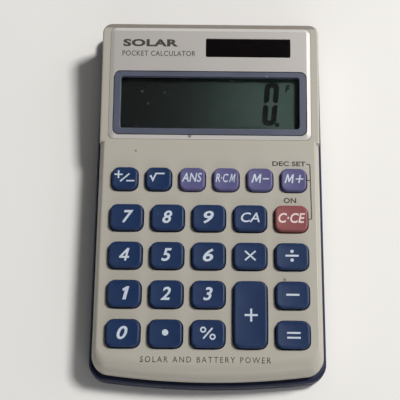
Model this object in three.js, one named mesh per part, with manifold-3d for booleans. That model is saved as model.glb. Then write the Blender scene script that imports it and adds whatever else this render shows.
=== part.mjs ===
// A pocket calculator with a hard cover that folds behind it.
// Millimetres, +Z out of the face, +Y from the keys towards the display, +X to the reader's right.
// The origin is under the middle of the object, on the surface that the folded cover stands on.
import * as THREE from "three";
import { mergeVertices } from "three/addons/utils/BufferGeometryUtils.js";
import Module from "manifold-3d";

const manifold = await Module();
manifold.setup();

// ---- driving dimensions ----------------------------------------------------------------------

const GAP = 0.25; // air between pieces that touch
const WALL = 1.4; // wall of both shells
const FAR = 200; // a reach beyond every solid
const THROUGH = 3; // how far a tool stands out of what it cuts

const BODY = {
  halfWidth: 34.6,
  bottom: -58.6, // middle of the bowed bottom end
  top: 55.6,
  back: 4.9,
  parting: 7.6, // where the front shell meets the rear one
  face: 12.9, // surface around the keys
  bow: 2.6, // how far the bottom end bulges
  bottomCorner: 4.5,
  topCorner: 3,
  edge: 2.2, // rounding along the sides
  endEdge: 5, // larger rounding across the bottom end
};

const DISPLAY = {
  start: 16.9, // where the face bends up
  tilt: THREE.MathUtils.degToRad(6),
  length: 38.9, // along the tilted face
  floor: 2.6, // thickness of the shell under the tilted face
};

// Across, and along the tilted face from the bend. Heights are from the tilted face.
const BEZEL = { halfWidth: 31.95, from: 0.44, to: 37.47, above: 0.6, below: 1.1, chamfer: 1.2 };
const FRAME = { halfWidth: 30.1, from: 2.05, to: 22.95, corner: 1.9, above: 0.55, below: 1 };
const WINDOW = { halfWidth: 28.3, from: 3.87, to: 21, corner: 0.9 };
const LENS = { halfWidth: 29.2, from: 2.95, to: 21.95, top: -1.3, thick: 0.6 };
const CELL = { halfWidth: 28.6, from: 3.6, to: 21.6, top: -2.15, thick: 1.1 };
const SOLAR = { left: -1.4, right: 25.4, from: 27.7, to: 33.7, top: 0.35, thick: 1.3, corner: 0.6 };
const SOLAR_LEAD = { inset: 2, radius: 0.3, holeHalfWidth: 1, holeFrom: 29, holeTo: 32 };
const REFLECTOR = { to: 19.4, thick: 0.2 };
const CONNECTOR = { halfWidth: 26, from: 37.1, to: 38, top: 11.05 };

const DISPLAY_DEEP = -16; // reaches below the parting plane
// The space under the display: across, along the tilted face, and from the bend.
const DISPLAY_ROOM = { from: -6, to: 37.3, corner: 1.6, start: DISPLAY.start - 2.5 };
const POCKET_CORNER = 2;
const LENS_CORNER = 0.8;
const KEY_ROOM = { bottom: 2.4, end: DISPLAY.start - 2, corner: 1 }; // the space behind the keys

const COLUMN_PITCH = 12.6;
const ROW_PITCH = 12;
const SMALL_PITCH = 10.45;
const KEYS_MIDDLE = -26.8; // between the third and the fourth row
const SMALL_ROW = 3.76;
const KEY = { width: 10.2, height: 8.45, corner: 1.9, rise: 1.6, chamfer: 0.7 };
const SMALL_KEY = { width: 8.05, height: 7.5, corner: 1.7, rise: 1.5, chamfer: 0.6 };
const KEY_CLEARANCE = 0.3;
const KEY_FLANGE = { wider: 0.6, thick: 0.8 };
const FACE_THICK = 1.3;
const KEY_TRAVEL = 0.8;
const DOME_AIR = 0.2; // left over each rubber dome when its key is down

const BOARD = {
  bottom: 7.7,
  thick: 0.9,
  halfWidth: 32.6,
  from: -55.4,
  to: 40.6,
  bottomCorner: 2.5,
  topCorner: 1,
};
const MAT = { thick: 0.4, halfWidth: 31, from: -50.5, to: 9.5, domeTop: 1.6, domeFoot: 2.6 };
const CHIP = { x: 8, y: 9, radius: 4.8, height: 0.95 };
const CAPACITOR = { radius: 2, from: 6, to: 11, y: 47.5, z: 9 };

const COVER = {
  halfWidth: 35.9,
  bottom: -59.3,
  depth: 4.6,
  plate: 1.3,
  wall: 1,
  edge: 1.2,
  corner: 5,
};
const HINGE = {
  bodyAxis: { y: 57.6, z: 9.6 },
  coverAxis: { y: 57.9, z: 2.3 },
  barrel: 1.4,
  web: 2.2, // thickness of the link between its barrels
  earRadius: 1.5,
  linkHalfWidth: 23.8,
  earFrom: 24.1,
  earTo: 28,
  pin: 0.62,
  bore: 0.75,
};

const CASE_SCREWS = [
  { name: "case_screw_bottom_left", x: -27, y: -53.2 },
  { name: "case_screw_bottom_right", x: 27, y: -53.2 },
  { name: "case_screw_top_left", x: -30.1, y: 43.5 },
  { name: "case_screw_top_right", x: 30.1, y: 43.5 },
];
const SCREW = {
  head: 1.9,
  headThick: 0.6,
  shank: 0.8,
  length: 5.4,
  slot: 0.2, // half the width of the cross slot
  slotDeep: 0.25,
  recess: 2.2,
  hole: 1.05,
  boss: 2.1,
};
const REAR = { floor: 1.3, edge: 0.9, ribs: [-35, -12, 8, 26], ribHalfWidth: 31, ribThick: 1 };

const BATTERY = { x: -18, y: 46.9, bottom: 7.25, radius: 5.8, height: 3.05 };
const CONTACT = { halfWidth: 1.5, thick: 0.3, foot: 38.6 };
const DOOR = { halfWidth: 7.25, from: 34.65, to: 52.95, thick: 1.05, padTo: 40.2, latchHalfWidth: 3 };
const DOOR_SCREW = { y: 37.2, head: 1.6, shank: 0.6, length: 2.1, hole: 0.85, recess: 1.9 };

// ---- colours and finishes --------------------------------------------------------------------

const finish = (color, roughness, metalness = 0) => ({ color, roughness, metalness });
const BEIGE = finish(0xb5afa1, 0.55);
const SILVER = finish(0xb9b6b2, 0.4, 0.5);
const SLATE = finish(0x5c6474, 0.45);
const CLEAR = finish(0xdfe6e4, 0.1);
const LCD_GREEN = finish(0x4a5a4e, 0.3);
const DARK = finish(0x1b1713, 0.3);
const NAVY = finish(0x26375c, 0.4);
const PURPLE = finish(0x6a6896, 0.45);
const RED = finish(0xa25a5f, 0.45);
const COVER_NAVY = finish(0x1c2338, 0.5);
const BOARD_GREEN = finish(0x2f6b45, 0.5);
const RUBBER = finish(0x8c8f92, 0.9);
const STEEL = finish(0xb8bcc0, 0.3, 1);
const BLACK = finish(0x141414, 0.6);
const WIRE_RED = finish(0xa32222, 0.5);

// ---- solids ----------------------------------------------------------------------------------

function solid(geometry) {
  geometry.deleteAttribute("normal");
  geometry.deleteAttribute("uv");
  const merged = mergeVertices(geometry, 1e-4);
  return new manifold.Manifold(
    new manifold.Mesh({
      numProp: 3,
      vertProperties: new Float32Array(merged.attributes.position.array),
      triVerts: new Uint32Array(merged.index.array),
    }),
  );
}

function geometryOf(body) {
  const { vertProperties, triVerts } = body.getMesh();
  return new THREE.BufferGeometry()
    .setAttribute("position", new THREE.BufferAttribute(vertProperties, 3))
    .setIndex(new THREE.BufferAttribute(triVerts, 1));
}

function box([x0, x1], [y0, y1], [z0, z1]) {
  const geometry = new THREE.BoxGeometry(x1 - x0, y1 - y0, z1 - z0);
  return solid(geometry.translate((x0 + x1) / 2, (y0 + y1) / 2, (z0 + z1) / 2));
}

function cylinder(radius, [z0, z1], x, y, sides = 20) {
  const geometry = new THREE.CylinderGeometry(radius, radius, z1 - z0, sides);
  return solid(geometry.rotateX(Math.PI / 2).translate(x, y, (z0 + z1) / 2));
}

// A cylinder along X.
function rod(radius, [x0, x1], y, z, sides = 16) {
  const geometry = new THREE.CylinderGeometry(radius, radius, x1 - x0, sides);
  return solid(geometry.rotateZ(Math.PI / 2).translate((x0 + x1) / 2, y, z));
}

function prism(shape, [z0, z1], curveSegments = 4) {
  const geometry = new THREE.ExtrudeGeometry(shape, {
    depth: z1 - z0,
    bevelEnabled: false,
    curveSegments,
  });
  return solid(geometry.translate(0, 0, z0));
}

// A prism whose upper edge is rounded, or chamfered where it has one step.
function roundedPrism(shape, [z0, z1], edge, { steps = 3, curveSegments = 4, rise = edge } = {}) {
  const geometry = new THREE.ExtrudeGeometry(shape, {
    depth: z1 - rise - z0,
    bevelThickness: rise,
    bevelSize: edge,
    bevelOffset: -edge,
    bevelSegments: steps,
    curveSegments,
  });
  const both = solid(geometry.translate(0, 0, z0));
  return both.intersect(box([-FAR, FAR], [-FAR, FAR], [z0, z1 + 1]));
}

function roundedRectangle([x0, x1], [y0, y1], r) {
  const shape = new THREE.Shape();
  shape.absarc(x1 - r, y1 - r, r, 0, Math.PI / 2);
  shape.absarc(x0 + r, y1 - r, r, Math.PI / 2, Math.PI);
  shape.absarc(x0 + r, y0 + r, r, Math.PI, 1.5 * Math.PI);
  shape.absarc(x1 - r, y0 + r, r, 1.5 * Math.PI, 2 * Math.PI);
  return shape;
}

// The outline of a shell seen from the front: square top, bowed bottom, rounded corners.
function shellOutline(halfWidth, bottom, top, bow, bottomCorner, topCorner) {
  const radius = (halfWidth ** 2 + bow ** 2) / (2 * bow);
  const reach = halfWidth - bottomCorner;
  const bend = Math.asin(reach / radius);
  const middle = bottom + radius;
  const shape = new THREE.Shape();
  shape.absarc(halfWidth - topCorner, top - topCorner, topCorner, 0, Math.PI / 2);
  shape.absarc(-halfWidth + topCorner, top - topCorner, topCorner, Math.PI / 2, Math.PI);
  shape.lineTo(-halfWidth, bottom + bow + bottomCorner);
  shape.quadraticCurveTo(-halfWidth, bottom + bow, -reach, middle - radius * Math.cos(bend));
  shape.absarc(0, middle, radius, 1.5 * Math.PI - bend, 1.5 * Math.PI + bend);
  shape.quadraticCurveTo(halfWidth, bottom + bow, halfWidth, bottom + bow + bottomCorner);
  return shape;
}

// Moves a solid made on the flat to the tilted face of the display.
function ontoDisplay(body) {
  const degrees = THREE.MathUtils.radToDeg(DISPLAY.tilt);
  return body.rotate([degrees, 0, 0]).translate([0, DISPLAY.start, BODY.face]);
}

const group = new THREE.Group();

function add(name, body, { color, roughness, metalness }) {
  const material = new THREE.MeshStandardMaterial({ color, roughness, metalness });
  const mesh = new THREE.Mesh(geometryOf(body), material);
  mesh.name = name;
  group.add(mesh);
}

// ---- keys ------------------------------------------------------------------------------------

const column = (index) => (index - 2) * COLUMN_PITCH;
const row = (index) => KEYS_MIDDLE - (index - 2.5) * ROW_PITCH; // 1 is the row of 7, 8 and 9

function keyList() {
  const small = [
    ["key_sign", NAVY],
    ["key_square_root", NAVY],
    ["key_answer", PURPLE],
    ["key_recall_memory", PURPLE],
    ["key_memory_minus", PURPLE],
    ["key_memory_plus", PURPLE],
  ].map(([name, look], i) => ({ name, look, x: (i - 2.5) * SMALL_PITCH, y: SMALL_ROW, size: SMALL_KEY }));
  const rows = [
    ["key_7", "key_8", "key_9", "key_clear_all", "key_clear_entry"],
    ["key_4", "key_5", "key_6", "key_multiply", "key_divide"],
    ["key_1", "key_2", "key_3", null, "key_subtract"],
    ["key_0", "key_point", "key_percent", null, "key_equals"],
  ];
  const large = rows.flatMap((names, r) =>
    names.flatMap((name, c) =>
      name
        ? [{ name, look: name === "key_clear_entry" ? RED : NAVY, x: column(c), y: row(r + 1), size: KEY }]
        : [],
    ),
  );
  const tall = {
    name: "key_add",
    look: NAVY,
    x: column(3),
    y: (row(3) + row(4)) / 2,
    size: { ...KEY, height: KEY.height + ROW_PITCH },
  };
  return [...small, ...large, tall];
}

const keys = keyList();

// The outline of a key, grown by a margin on every side.
function keyOutline({ x, y, size }, margin) {
  const w = size.width / 2 + margin;
  const h = size.height / 2 + margin;
  return roundedRectangle([x - w, x + w], [y - h, y + h], size.corner + margin);
}

const flangeTop = BODY.face - FACE_THICK - GAP;

function keyCap(key) {
  const cap = roundedPrism(
    keyOutline(key, 0),
    [flangeTop - KEY_FLANGE.thick / 2, BODY.face + key.size.rise],
    key.size.chamfer,
    { steps: 1, curveSegments: 2 },
  );
  const flange = prism(keyOutline(key, KEY_FLANGE.wider), [flangeTop - KEY_FLANGE.thick, flangeTop], 1);
  return cap.add(flange);
}

// ---- shells ----------------------------------------------------------------------------------

function bodyOutline(inset = 0, grow = 0) {
  return shellOutline(
    BODY.halfWidth - inset,
    BODY.bottom + inset - grow,
    BODY.top - inset,
    BODY.bow,
    BODY.bottomCorner - inset,
    BODY.topCorner - inset,
  );
}

function frontShellOutside() {
  const { halfWidth, bottom, top, parting, face, bow, edge, endEdge } = BODY;
  const overlap = 0.05; // keeps the two roundings of the bottom end from sharing a surface
  const underDisplay = DISPLAY.start + 6; // the keypad block ends inside the display block
  const keypad = shellOutline(
    halfWidth,
    bottom - overlap,
    underDisplay,
    bow,
    BODY.bottomCorner,
    BODY.topCorner,
  );
  // Wider than the body, so that its larger rounding runs straight across the bottom end.
  const wide = shellOutline(halfWidth + 8, bottom, top, bow * 1.5, endEdge + 1, endEdge + 1);
  const keypadBlock = roundedPrism(keypad, [parting, face], edge).intersect(
    roundedPrism(wide, [parting - 1, face], endEdge, { steps: 4, curveSegments: 6, rise: endEdge - 0.3 }),
  );
  const plate = roundedRectangle([-halfWidth, halfWidth], [-20, DISPLAY.length], BODY.topCorner);
  const displayBlock = ontoDisplay(roundedPrism(plate, [DISPLAY_DEEP, 0], edge * 0.8));
  const above = box([-FAR, FAR], [-FAR, FAR], [parting, FAR]);
  const plan = prism(bodyOutline(0, overlap), [parting, FAR]);
  return keypadBlock.add(displayBlock.intersect(above)).intersect(plan);
}

function screwBoss({ x, y }, top) {
  return cylinder(SCREW.boss, [BODY.parting, top], x, y).subtract(
    cylinder(SCREW.hole, [BODY.parting - 1, top - 1], x, y, 12),
  );
}

function hingeEar(side) {
  const { bodyAxis, earRadius, earFrom, earTo, bore } = HINGE;
  const span = side > 0 ? [earFrom, earTo] : [-earTo, -earFrom];
  return box(span, [BODY.top - 0.3, bodyAxis.y], [bodyAxis.z - earRadius, bodyAxis.z + earRadius])
    .add(rod(earRadius, span, bodyAxis.y, bodyAxis.z, 20))
    .subtract(rod(bore, [span[0] - 1, span[1] + 1], bodyAxis.y, bodyAxis.z));
}

const leadPlaces = [SOLAR.left + SOLAR_LEAD.inset, SOLAR.right - SOLAR_LEAD.inset];

function frontShell() {
  const inside = prism(
    shellOutline(
      BODY.halfWidth - WALL,
      BODY.bottom + KEY_ROOM.bottom,
      KEY_ROOM.end,
      BODY.bow,
      BODY.bottomCorner - WALL,
      KEY_ROOM.corner,
    ),
    [BODY.parting - 1, BODY.face - FACE_THICK],
  );
  const deep = roundedRectangle(
    [-BODY.halfWidth + WALL, BODY.halfWidth - WALL],
    [DISPLAY_ROOM.from, DISPLAY_ROOM.to],
    DISPLAY_ROOM.corner,
  );
  const displayInside = ontoDisplay(prism(deep, [DISPLAY_DEEP, -DISPLAY.floor])).intersect(
    box([-FAR, FAR], [DISPLAY_ROOM.start, BODY.top - WALL], [0, FAR]),
  );
  const pocket = roundedRectangle(
    [-BEZEL.halfWidth - GAP, BEZEL.halfWidth + GAP],
    [BEZEL.from - GAP, BEZEL.to + GAP],
    POCKET_CORNER,
  );
  const lensHole = roundedRectangle(
    [-LENS.halfWidth - GAP, LENS.halfWidth + GAP],
    [LENS.from - GAP, LENS.to + GAP],
    LENS_CORNER,
  );
  const { holeHalfWidth, holeFrom, holeTo } = SOLAR_LEAD;
  const floor = [-DISPLAY.floor - THROUGH, 1];
  const leadHoles = leadPlaces.map((x) =>
    box([x - holeHalfWidth, x + holeHalfWidth], [holeFrom, holeTo], floor),
  );
  const face = [BODY.face - THROUGH, BODY.face + THROUGH];
  const cuts = [
    ontoDisplay(prism(pocket, [-BEZEL.below - GAP, THROUGH])),
    ontoDisplay(prism(lensHole, floor)),
    ...leadHoles.map(ontoDisplay),
    ...keys.map((key) => prism(keyOutline(key, KEY_CLEARANCE), face, 2)),
  ];
  let shell = frontShellOutside().subtract(inside.add(displayInside));
  for (const cut of cuts) shell = shell.subtract(cut);
  for (const screw of CASE_SCREWS) {
    const top = screw.y < 0 ? BODY.face - FACE_THICK + 0.2 : BODY.face + 0.3;
    shell = shell.add(screwBoss(screw, top));
  }
  return shell.add(hingeEar(-1)).add(hingeEar(1));
}

function rearShell() {
  const { back, parting } = BODY;
  const { floor, edge, ribs, ribHalfWidth, ribThick } = REAR;
  const rim = parting - GAP;
  const tray = roundedPrism(bodyOutline(), [0, rim - back], edge, { steps: 2 })
    .rotate([0, 180, 0])
    .translate([0, 0, rim])
    .subtract(prism(bodyOutline(WALL), [back + floor, rim + 1]));
  const pad = [DOOR.from - 1, DOOR.padTo]; // takes the door's screw
  const doorWidth = [BATTERY.x - DOOR.halfWidth - GAP, BATTERY.x + DOOR.halfWidth + GAP];
  let shell = tray
    .add(box([doorWidth[0] - 1, doorWidth[1] + 1], pad, [back + 0.5, rim - 0.1]))
    .subtract(box(doorWidth, [DOOR.from - GAP, DOOR.to + GAP], [back - 1, back + floor]));
  for (const y of ribs) {
    const height = [back + floor - 0.1, BOARD.bottom - 2 * GAP];
    shell = shell.add(box([-ribHalfWidth, ribHalfWidth], [y, y + ribThick], height));
  }
  const chipRoom = [CHIP.x, CHIP.y].map((at) => [at - CHIP.radius - 1, at + CHIP.radius + 1]);
  shell = shell.subtract(box(...chipRoom, [back + floor, rim + 1]));
  for (const { x, y } of CASE_SCREWS) {
    shell = shell
      .add(cylinder(SCREW.recess + 0.4, [back + 0.5, rim], x, y))
      .subtract(cylinder(SCREW.recess, [back - 1, back + 0.8], x, y))
      .subtract(cylinder(SCREW.hole, [back, rim + 1], x, y, 12));
  }
  return shell.subtract(cylinder(DOOR_SCREW.hole, [back, rim + 1], BATTERY.x, DOOR_SCREW.y, 12));
}

function screw({ x, y, head, shank, length }) {
  const bottom = BODY.back + 0.1;
  const slot = box([x - head, x + head], [y - SCREW.slot, y + SCREW.slot], [0, bottom + SCREW.slotDeep]);
  return cylinder(head, [bottom, bottom + SCREW.headThick], x, y, 16)
    .add(cylinder(shank, [bottom, bottom + length], x, y, 10))
    .subtract(slot)
    .subtract(slot.translate([-x, -y, 0]).rotate([0, 0, 90]).translate([x, y, 0]));
}

// ---- display ---------------------------------------------------------------------------------

function bezel() {
  const { halfWidth, from, to, above, below, chamfer } = BEZEL;
  const plate = roundedPrism(
    roundedRectangle([-halfWidth, halfWidth], [from, to], FRAME.corner),
    [-below, above],
    chamfer,
    { steps: 1, rise: above },
  );
  const frameHole = roundedRectangle(
    [-FRAME.halfWidth - GAP, FRAME.halfWidth + GAP],
    [FRAME.from - GAP, FRAME.to + GAP],
    FRAME.corner + GAP,
  );
  const solarHole = roundedRectangle(
    [SOLAR.left - GAP, SOLAR.right + GAP],
    [SOLAR.from - GAP, SOLAR.to + GAP],
    SOLAR.corner,
  );
  const holes = [frameHole, solarHole].map((hole) => prism(hole, [-THROUGH, THROUGH]));
  return ontoDisplay(plate.subtract(holes[0]).subtract(holes[1]));
}

function windowFrame() {
  const outside = roundedRectangle([-FRAME.halfWidth, FRAME.halfWidth], [FRAME.from, FRAME.to], FRAME.corner);
  const inside = roundedRectangle(
    [-WINDOW.halfWidth, WINDOW.halfWidth],
    [WINDOW.from, WINDOW.to],
    WINDOW.corner,
  );
  const frame = prism(outside, [-FRAME.below, FRAME.above]);
  return ontoDisplay(frame.subtract(prism(inside, [-THROUGH, THROUGH])));
}

function displayPlate({ halfWidth, from, to, top, thick }) {
  return ontoDisplay(box([-halfWidth, halfWidth], [from, to], [top - thick, top]));
}

function solarCell() {
  const { left, right, from, to, top, thick } = SOLAR;
  return ontoDisplay(box([left, right], [from, to], [top - thick, top]));
}

// ---- inside ----------------------------------------------------------------------------------

const boardTop = BOARD.bottom + BOARD.thick;
const matBottom = boardTop + GAP;

function connector() {
  const { halfWidth, from, to, top } = CONNECTOR;
  return box([-halfWidth, halfWidth], [from, to], [boardTop + GAP, top]);
}

function capacitor() {
  const { radius, from, to, y, z } = CAPACITOR;
  return rod(radius, [from, to], y, z);
}

function mainBoard() {
  const outline = shellOutline(
    BOARD.halfWidth,
    BOARD.from,
    BOARD.to,
    BODY.bow,
    BOARD.bottomCorner,
    BOARD.topCorner,
  );
  let board = prism(outline, [BOARD.bottom, boardTop]);
  for (const { x, y } of CASE_SCREWS.filter(({ y }) => y < 0)) {
    board = board.subtract(cylinder(SCREW.boss + GAP, [0, FAR], x, y));
  }
  return board;
}

// The domes are drawn pressed down, because a rigid solid can't give way under its key.
function keyMat() {
  const sheetTop = matBottom + MAT.thick;
  const domeTop = flangeTop - KEY_FLANGE.thick - KEY_TRAVEL - DOME_AIR;
  const foot = sheetTop - 0.1;
  let mat = box([-MAT.halfWidth, MAT.halfWidth], [MAT.from, MAT.to], [matBottom, sheetTop]);
  for (const { x, y, size } of keys) {
    const spots = size.height > KEY.height ? [y - ROW_PITCH / 2, y + ROW_PITCH / 2] : [y];
    for (const spot of spots) {
      const dome = new THREE.CylinderGeometry(MAT.domeTop, MAT.domeFoot, domeTop - foot, 6);
      mat = mat.add(solid(dome.rotateX(Math.PI / 2).translate(x, spot, (domeTop + foot) / 2)));
    }
  }
  return mat;
}

function chipBlob() {
  const { x, y, radius, height } = CHIP;
  const profile = [
    [0, 0],
    [0.54 * radius, 0.16 * height],
    [0.83 * radius, 0.53 * height],
    [radius, height],
    [0, height],
  ].map(([r, z]) => new THREE.Vector2(r, z));
  const geometry = new THREE.LatheGeometry(profile, 20).rotateX(Math.PI / 2);
  return solid(geometry.translate(x, y, BOARD.bottom - GAP - height));
}

function solarLead(x) {
  const path = new THREE.CatmullRomCurve3(
    [
      [x, 46.9, 14.4],
      [x, 46.9, 13],
      [x, 45.2, 11.6],
      [x, 42, 10.9],
      [x, 40, 9.2],
    ].map((point) => new THREE.Vector3(...point)),
  );
  const section = new THREE.Shape().absarc(0, 0, SOLAR_LEAD.radius, 0, 2 * Math.PI);
  return solid(new THREE.ExtrudeGeometry(section, { steps: 14, curveSegments: 3, extrudePath: path }));
}

function battery() {
  const { x, y, bottom, radius, height } = BATTERY;
  return cylinder(radius, [bottom, bottom + height - 0.5], x, y, 32).add(
    cylinder(radius - 0.9, [bottom, bottom + height], x, y, 32),
  );
}

// A springy strip above the cell, with a foot that reaches over the board.
function upperContact() {
  const { x, y, bottom, height } = BATTERY;
  const { halfWidth, thick, foot } = CONTACT;
  const top = bottom + height + GAP;
  const onBoard = boardTop + GAP;
  const width = [x - halfWidth, x + halfWidth];
  return box(width, [foot, y + 2], [top, top + thick])
    .add(box(width, [foot, foot + thick], [onBoard, top + thick / 2]))
    .add(box(width, [foot, foot + 1.8], [onBoard, onBoard + thick]));
}

// A strip that bears on the side of the cell.
function sideContact() {
  const { x, y, bottom, radius } = BATTERY;
  const side = x + radius + GAP;
  const onBoard = boardTop + GAP;
  const strip = box([side, side + CONTACT.thick], [BOARD.to + GAP, y + 3], [bottom + 0.2, bottom + 2.6]);
  const tab = box([side, side + 2.4], [CONTACT.foot, BOARD.to + 1], [onBoard, onBoard + CONTACT.thick]);
  return strip.add(tab);
}

function batteryDoor() {
  const { halfWidth, from, to, thick, latchHalfWidth } = DOOR;
  const bottom = BODY.back + 0.05;
  const top = bottom + thick;
  const { x } = BATTERY;
  const latch = [x - latchHalfWidth, x + latchHalfWidth];
  return box([x - halfWidth, x + halfWidth], [from, to], [bottom, top])
    .add(box(latch, [to - 1, to], [top - 0.1, top + 1]))
    .add(box(latch, [to - 0.1, to + 1], [top + 0.45, top + 1]))
    .subtract(cylinder(DOOR_SCREW.recess, [bottom - 1, bottom + 0.7], x, DOOR_SCREW.y))
    .subtract(cylinder(DOOR_SCREW.hole, [bottom - 1, top + 1], x, DOOR_SCREW.y, 12))
    .subtract(box(latch, [to - 3.4, to - 2.6], [bottom - 1, bottom + 0.4])); // for a fingernail
}

// ---- cover and hinge -------------------------------------------------------------------------

function cover() {
  const { halfWidth, bottom, depth, plate, wall, edge, corner } = COVER;
  const { coverAxis, barrel, linkHalfWidth, earFrom, earTo, bore } = HINGE;
  const end = coverAxis.y + barrel;
  const outline = (inset) =>
    shellOutline(halfWidth - inset, bottom + inset, end - inset, BODY.bow, corner - inset, 3.6 - inset);
  const slot = linkHalfWidth + 0.3;
  const earBottom = 0.7;
  let shell = roundedPrism(outline(0), [0, depth], edge).subtract(
    prism(outline(wall), [-1, depth - plate]),
  );
  for (const span of [[-earTo, -earFrom], [earFrom, earTo]]) {
    shell = shell.add(box(span, [coverAxis.y - barrel, end], [earBottom, depth - plate + 0.1]));
  }
  return shell
    .subtract(box([-slot, slot], [coverAxis.y - barrel - 0.3, end + 1], [-1, depth + 1]))
    .subtract(rod(bore, [-earTo - 1, earTo + 1], coverAxis.y, coverAxis.z));
}

function hingeLink() {
  const { bodyAxis, coverAxis, barrel, web, linkHalfWidth, bore } = HINGE;
  const span = [-linkHalfWidth, linkHalfWidth];
  const across = bodyAxis.y - coverAxis.y;
  const up = bodyAxis.z - coverAxis.z;
  const lean = THREE.MathUtils.radToDeg(Math.atan2(-across, up));
  const plate = box(span, [-web / 2, web / 2], [0, Math.hypot(across, up)])
    .rotate([lean, 0, 0])
    .translate([0, coverAxis.y, coverAxis.z]);
  return plate
    .add(rod(barrel, span, bodyAxis.y, bodyAxis.z, 20))
    .add(rod(barrel, span, coverAxis.y, coverAxis.z, 20))
    .subtract(rod(bore, [span[0] - 1, span[1] + 1], bodyAxis.y, bodyAxis.z))
    .subtract(rod(bore, [span[0] - 1, span[1] + 1], coverAxis.y, coverAxis.z));
}

function hingePin({ y, z }) {
  const reach = HINGE.earTo - 0.1;
  return rod(HINGE.pin, [-reach, reach], y, z, 14);
}

// ---- the assembly ----------------------------------------------------------------------------

add("front_shell", frontShell(), BEIGE);
add("rear_shell", rearShell(), BEIGE);
for (const key of keys) add(key.name, keyCap(key), key.look);

add("display_bezel", bezel(), SILVER);
add("window_frame", windowFrame(), SLATE);
add("window_lens", displayPlate(LENS), CLEAR);
add("lcd_cell", displayPlate(CELL), LCD_GREEN);
add("lcd_reflector", displayPlate({ ...CELL, ...REFLECTOR, top: CELL.top - CELL.thick - GAP }), SILVER);
add("zebra_connector", connector(), RUBBER);
add("solar_cell", solarCell(), DARK);
add("solar_lead_positive", solarLead(leadPlaces[0]), WIRE_RED);
add("solar_lead_negative", solarLead(leadPlaces[1]), BLACK);

add("main_board", mainBoard(), BOARD_GREEN);
add("key_mat", keyMat(), RUBBER);
add("chip_blob", chipBlob(), BLACK);
add("smoothing_capacitor", capacitor(), COVER_NAVY);
add("button_cell", battery(), STEEL);
add("cell_contact_negative", upperContact(), STEEL);
add("cell_contact_positive", sideContact(), STEEL);
add("battery_door", batteryDoor(), BEIGE);
add("battery_door_screw", screw({ ...DOOR_SCREW, x: BATTERY.x }), STEEL);
for (const { name, x, y } of CASE_SCREWS) add(name, screw({ ...SCREW, x, y }), STEEL);

add("hinge_link", hingeLink(), COVER_NAVY);
add("body_hinge_pin", hingePin(HINGE.bodyAxis), STEEL);
add("cover_hinge_pin", hingePin(HINGE.coverAxis), STEEL);
add("folding_cover", cover(), COVER_NAVY);

export default group;
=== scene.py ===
"""A solar pocket calculator with a hard cover folded behind it.

Run as a script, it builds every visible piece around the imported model, and lights it.
Shapes are modelled in millimetres and made metres when a piece is finished.
"""

import math
from types import SimpleNamespace

import bmesh
import bpy
from bpy.props import FloatProperty, FloatVectorProperty, IntProperty, PointerProperty
from mathutils import Matrix, Vector


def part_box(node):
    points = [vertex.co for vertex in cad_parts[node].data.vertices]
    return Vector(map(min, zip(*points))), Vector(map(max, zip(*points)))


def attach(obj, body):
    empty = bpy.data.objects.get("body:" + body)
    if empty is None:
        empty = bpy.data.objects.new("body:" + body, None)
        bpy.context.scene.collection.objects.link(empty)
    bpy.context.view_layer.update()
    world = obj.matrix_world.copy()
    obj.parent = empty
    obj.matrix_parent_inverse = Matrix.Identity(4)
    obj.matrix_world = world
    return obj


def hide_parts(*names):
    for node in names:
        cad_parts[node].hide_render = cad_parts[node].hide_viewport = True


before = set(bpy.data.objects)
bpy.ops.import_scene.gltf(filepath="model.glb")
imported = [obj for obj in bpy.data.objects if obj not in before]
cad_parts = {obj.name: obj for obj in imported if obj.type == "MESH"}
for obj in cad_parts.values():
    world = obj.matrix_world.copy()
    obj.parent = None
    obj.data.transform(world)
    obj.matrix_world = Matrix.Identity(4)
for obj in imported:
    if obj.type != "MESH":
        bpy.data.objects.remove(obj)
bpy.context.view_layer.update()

bl_info = {
    "name": "Pocket calculator",
    "version": (1, 0, 0),
    "blender": (4, 5, 0),
    "location": "3D View > Sidebar > Calculator",
    "description": "Builds a solar pocket calculator with a folding cover",
    "category": "Object",
}

MM = 0.001
BODY = "calculator_body"


# ---- places taken from the frame --------------------------------------------------------------


def box_mm(node):
    """The lowest and highest corner of a CAD node, in millimetres."""
    low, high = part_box(node)
    return low / MM, high / MM


def middle_mm(node):
    return sum(box_mm(node), Vector()) / 2


FRONT_LOW, FRONT_HIGH = box_mm("front_shell")
REAR_LOW, REAR_HIGH = box_mm("rear_shell")
COVER_LOW, COVER_HIGH = box_mm("folding_cover")
LINK_LOW, LINK_HIGH = box_mm("hinge_link")
PIN_BODY = middle_mm("body_hinge_pin")
PIN_COVER = middle_mm("cover_hinge_pin")

HALF_WIDTH = FRONT_HIGH.x
BODY_TOP = REAR_HIGH.y
BODY_BOTTOM = FRONT_LOW.y + 0.7  # the real lower end is a little shorter than the CAD one
PARTING = FRONT_LOW.z
FACE = 12.9  # height of the surface around the keys
FACE_THICK = 1.3
WALL = 1.4
BOW = 2.6  # how far the lower end bulges
LOW_CORNER = 4.5
HIGH_CORNER = 3.0
FLANGE = 0.6  # how far a key's hidden flange stands out
KEY_CLEARANCE = 0.22
EAR_SPAN = (24.1, 28.0)  # the hinge ears on either side, from the middle
EAR_RADIUS = 1.5
LINK_RADIUS = 1.4  # of the link's two barrels
PIN_BORE = 0.75
HATCH_GAP = 0.25
LATCH_REACH = 1.0  # how far the battery hatch's latch reaches under the tray

DISPLAY_START = 16.9  # where the face bends up
DISPLAY_TILT = math.radians(6)
DISPLAY_BEND = Vector((0, DISPLAY_START, FACE))
ONTO_DISPLAY = Matrix.Translation(DISPLAY_BEND) @ Matrix.Rotation(DISPLAY_TILT, 4, "X")
DISPLAY_UP = ONTO_DISPLAY.to_3x3() @ Vector((0, 0, 1))

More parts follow.
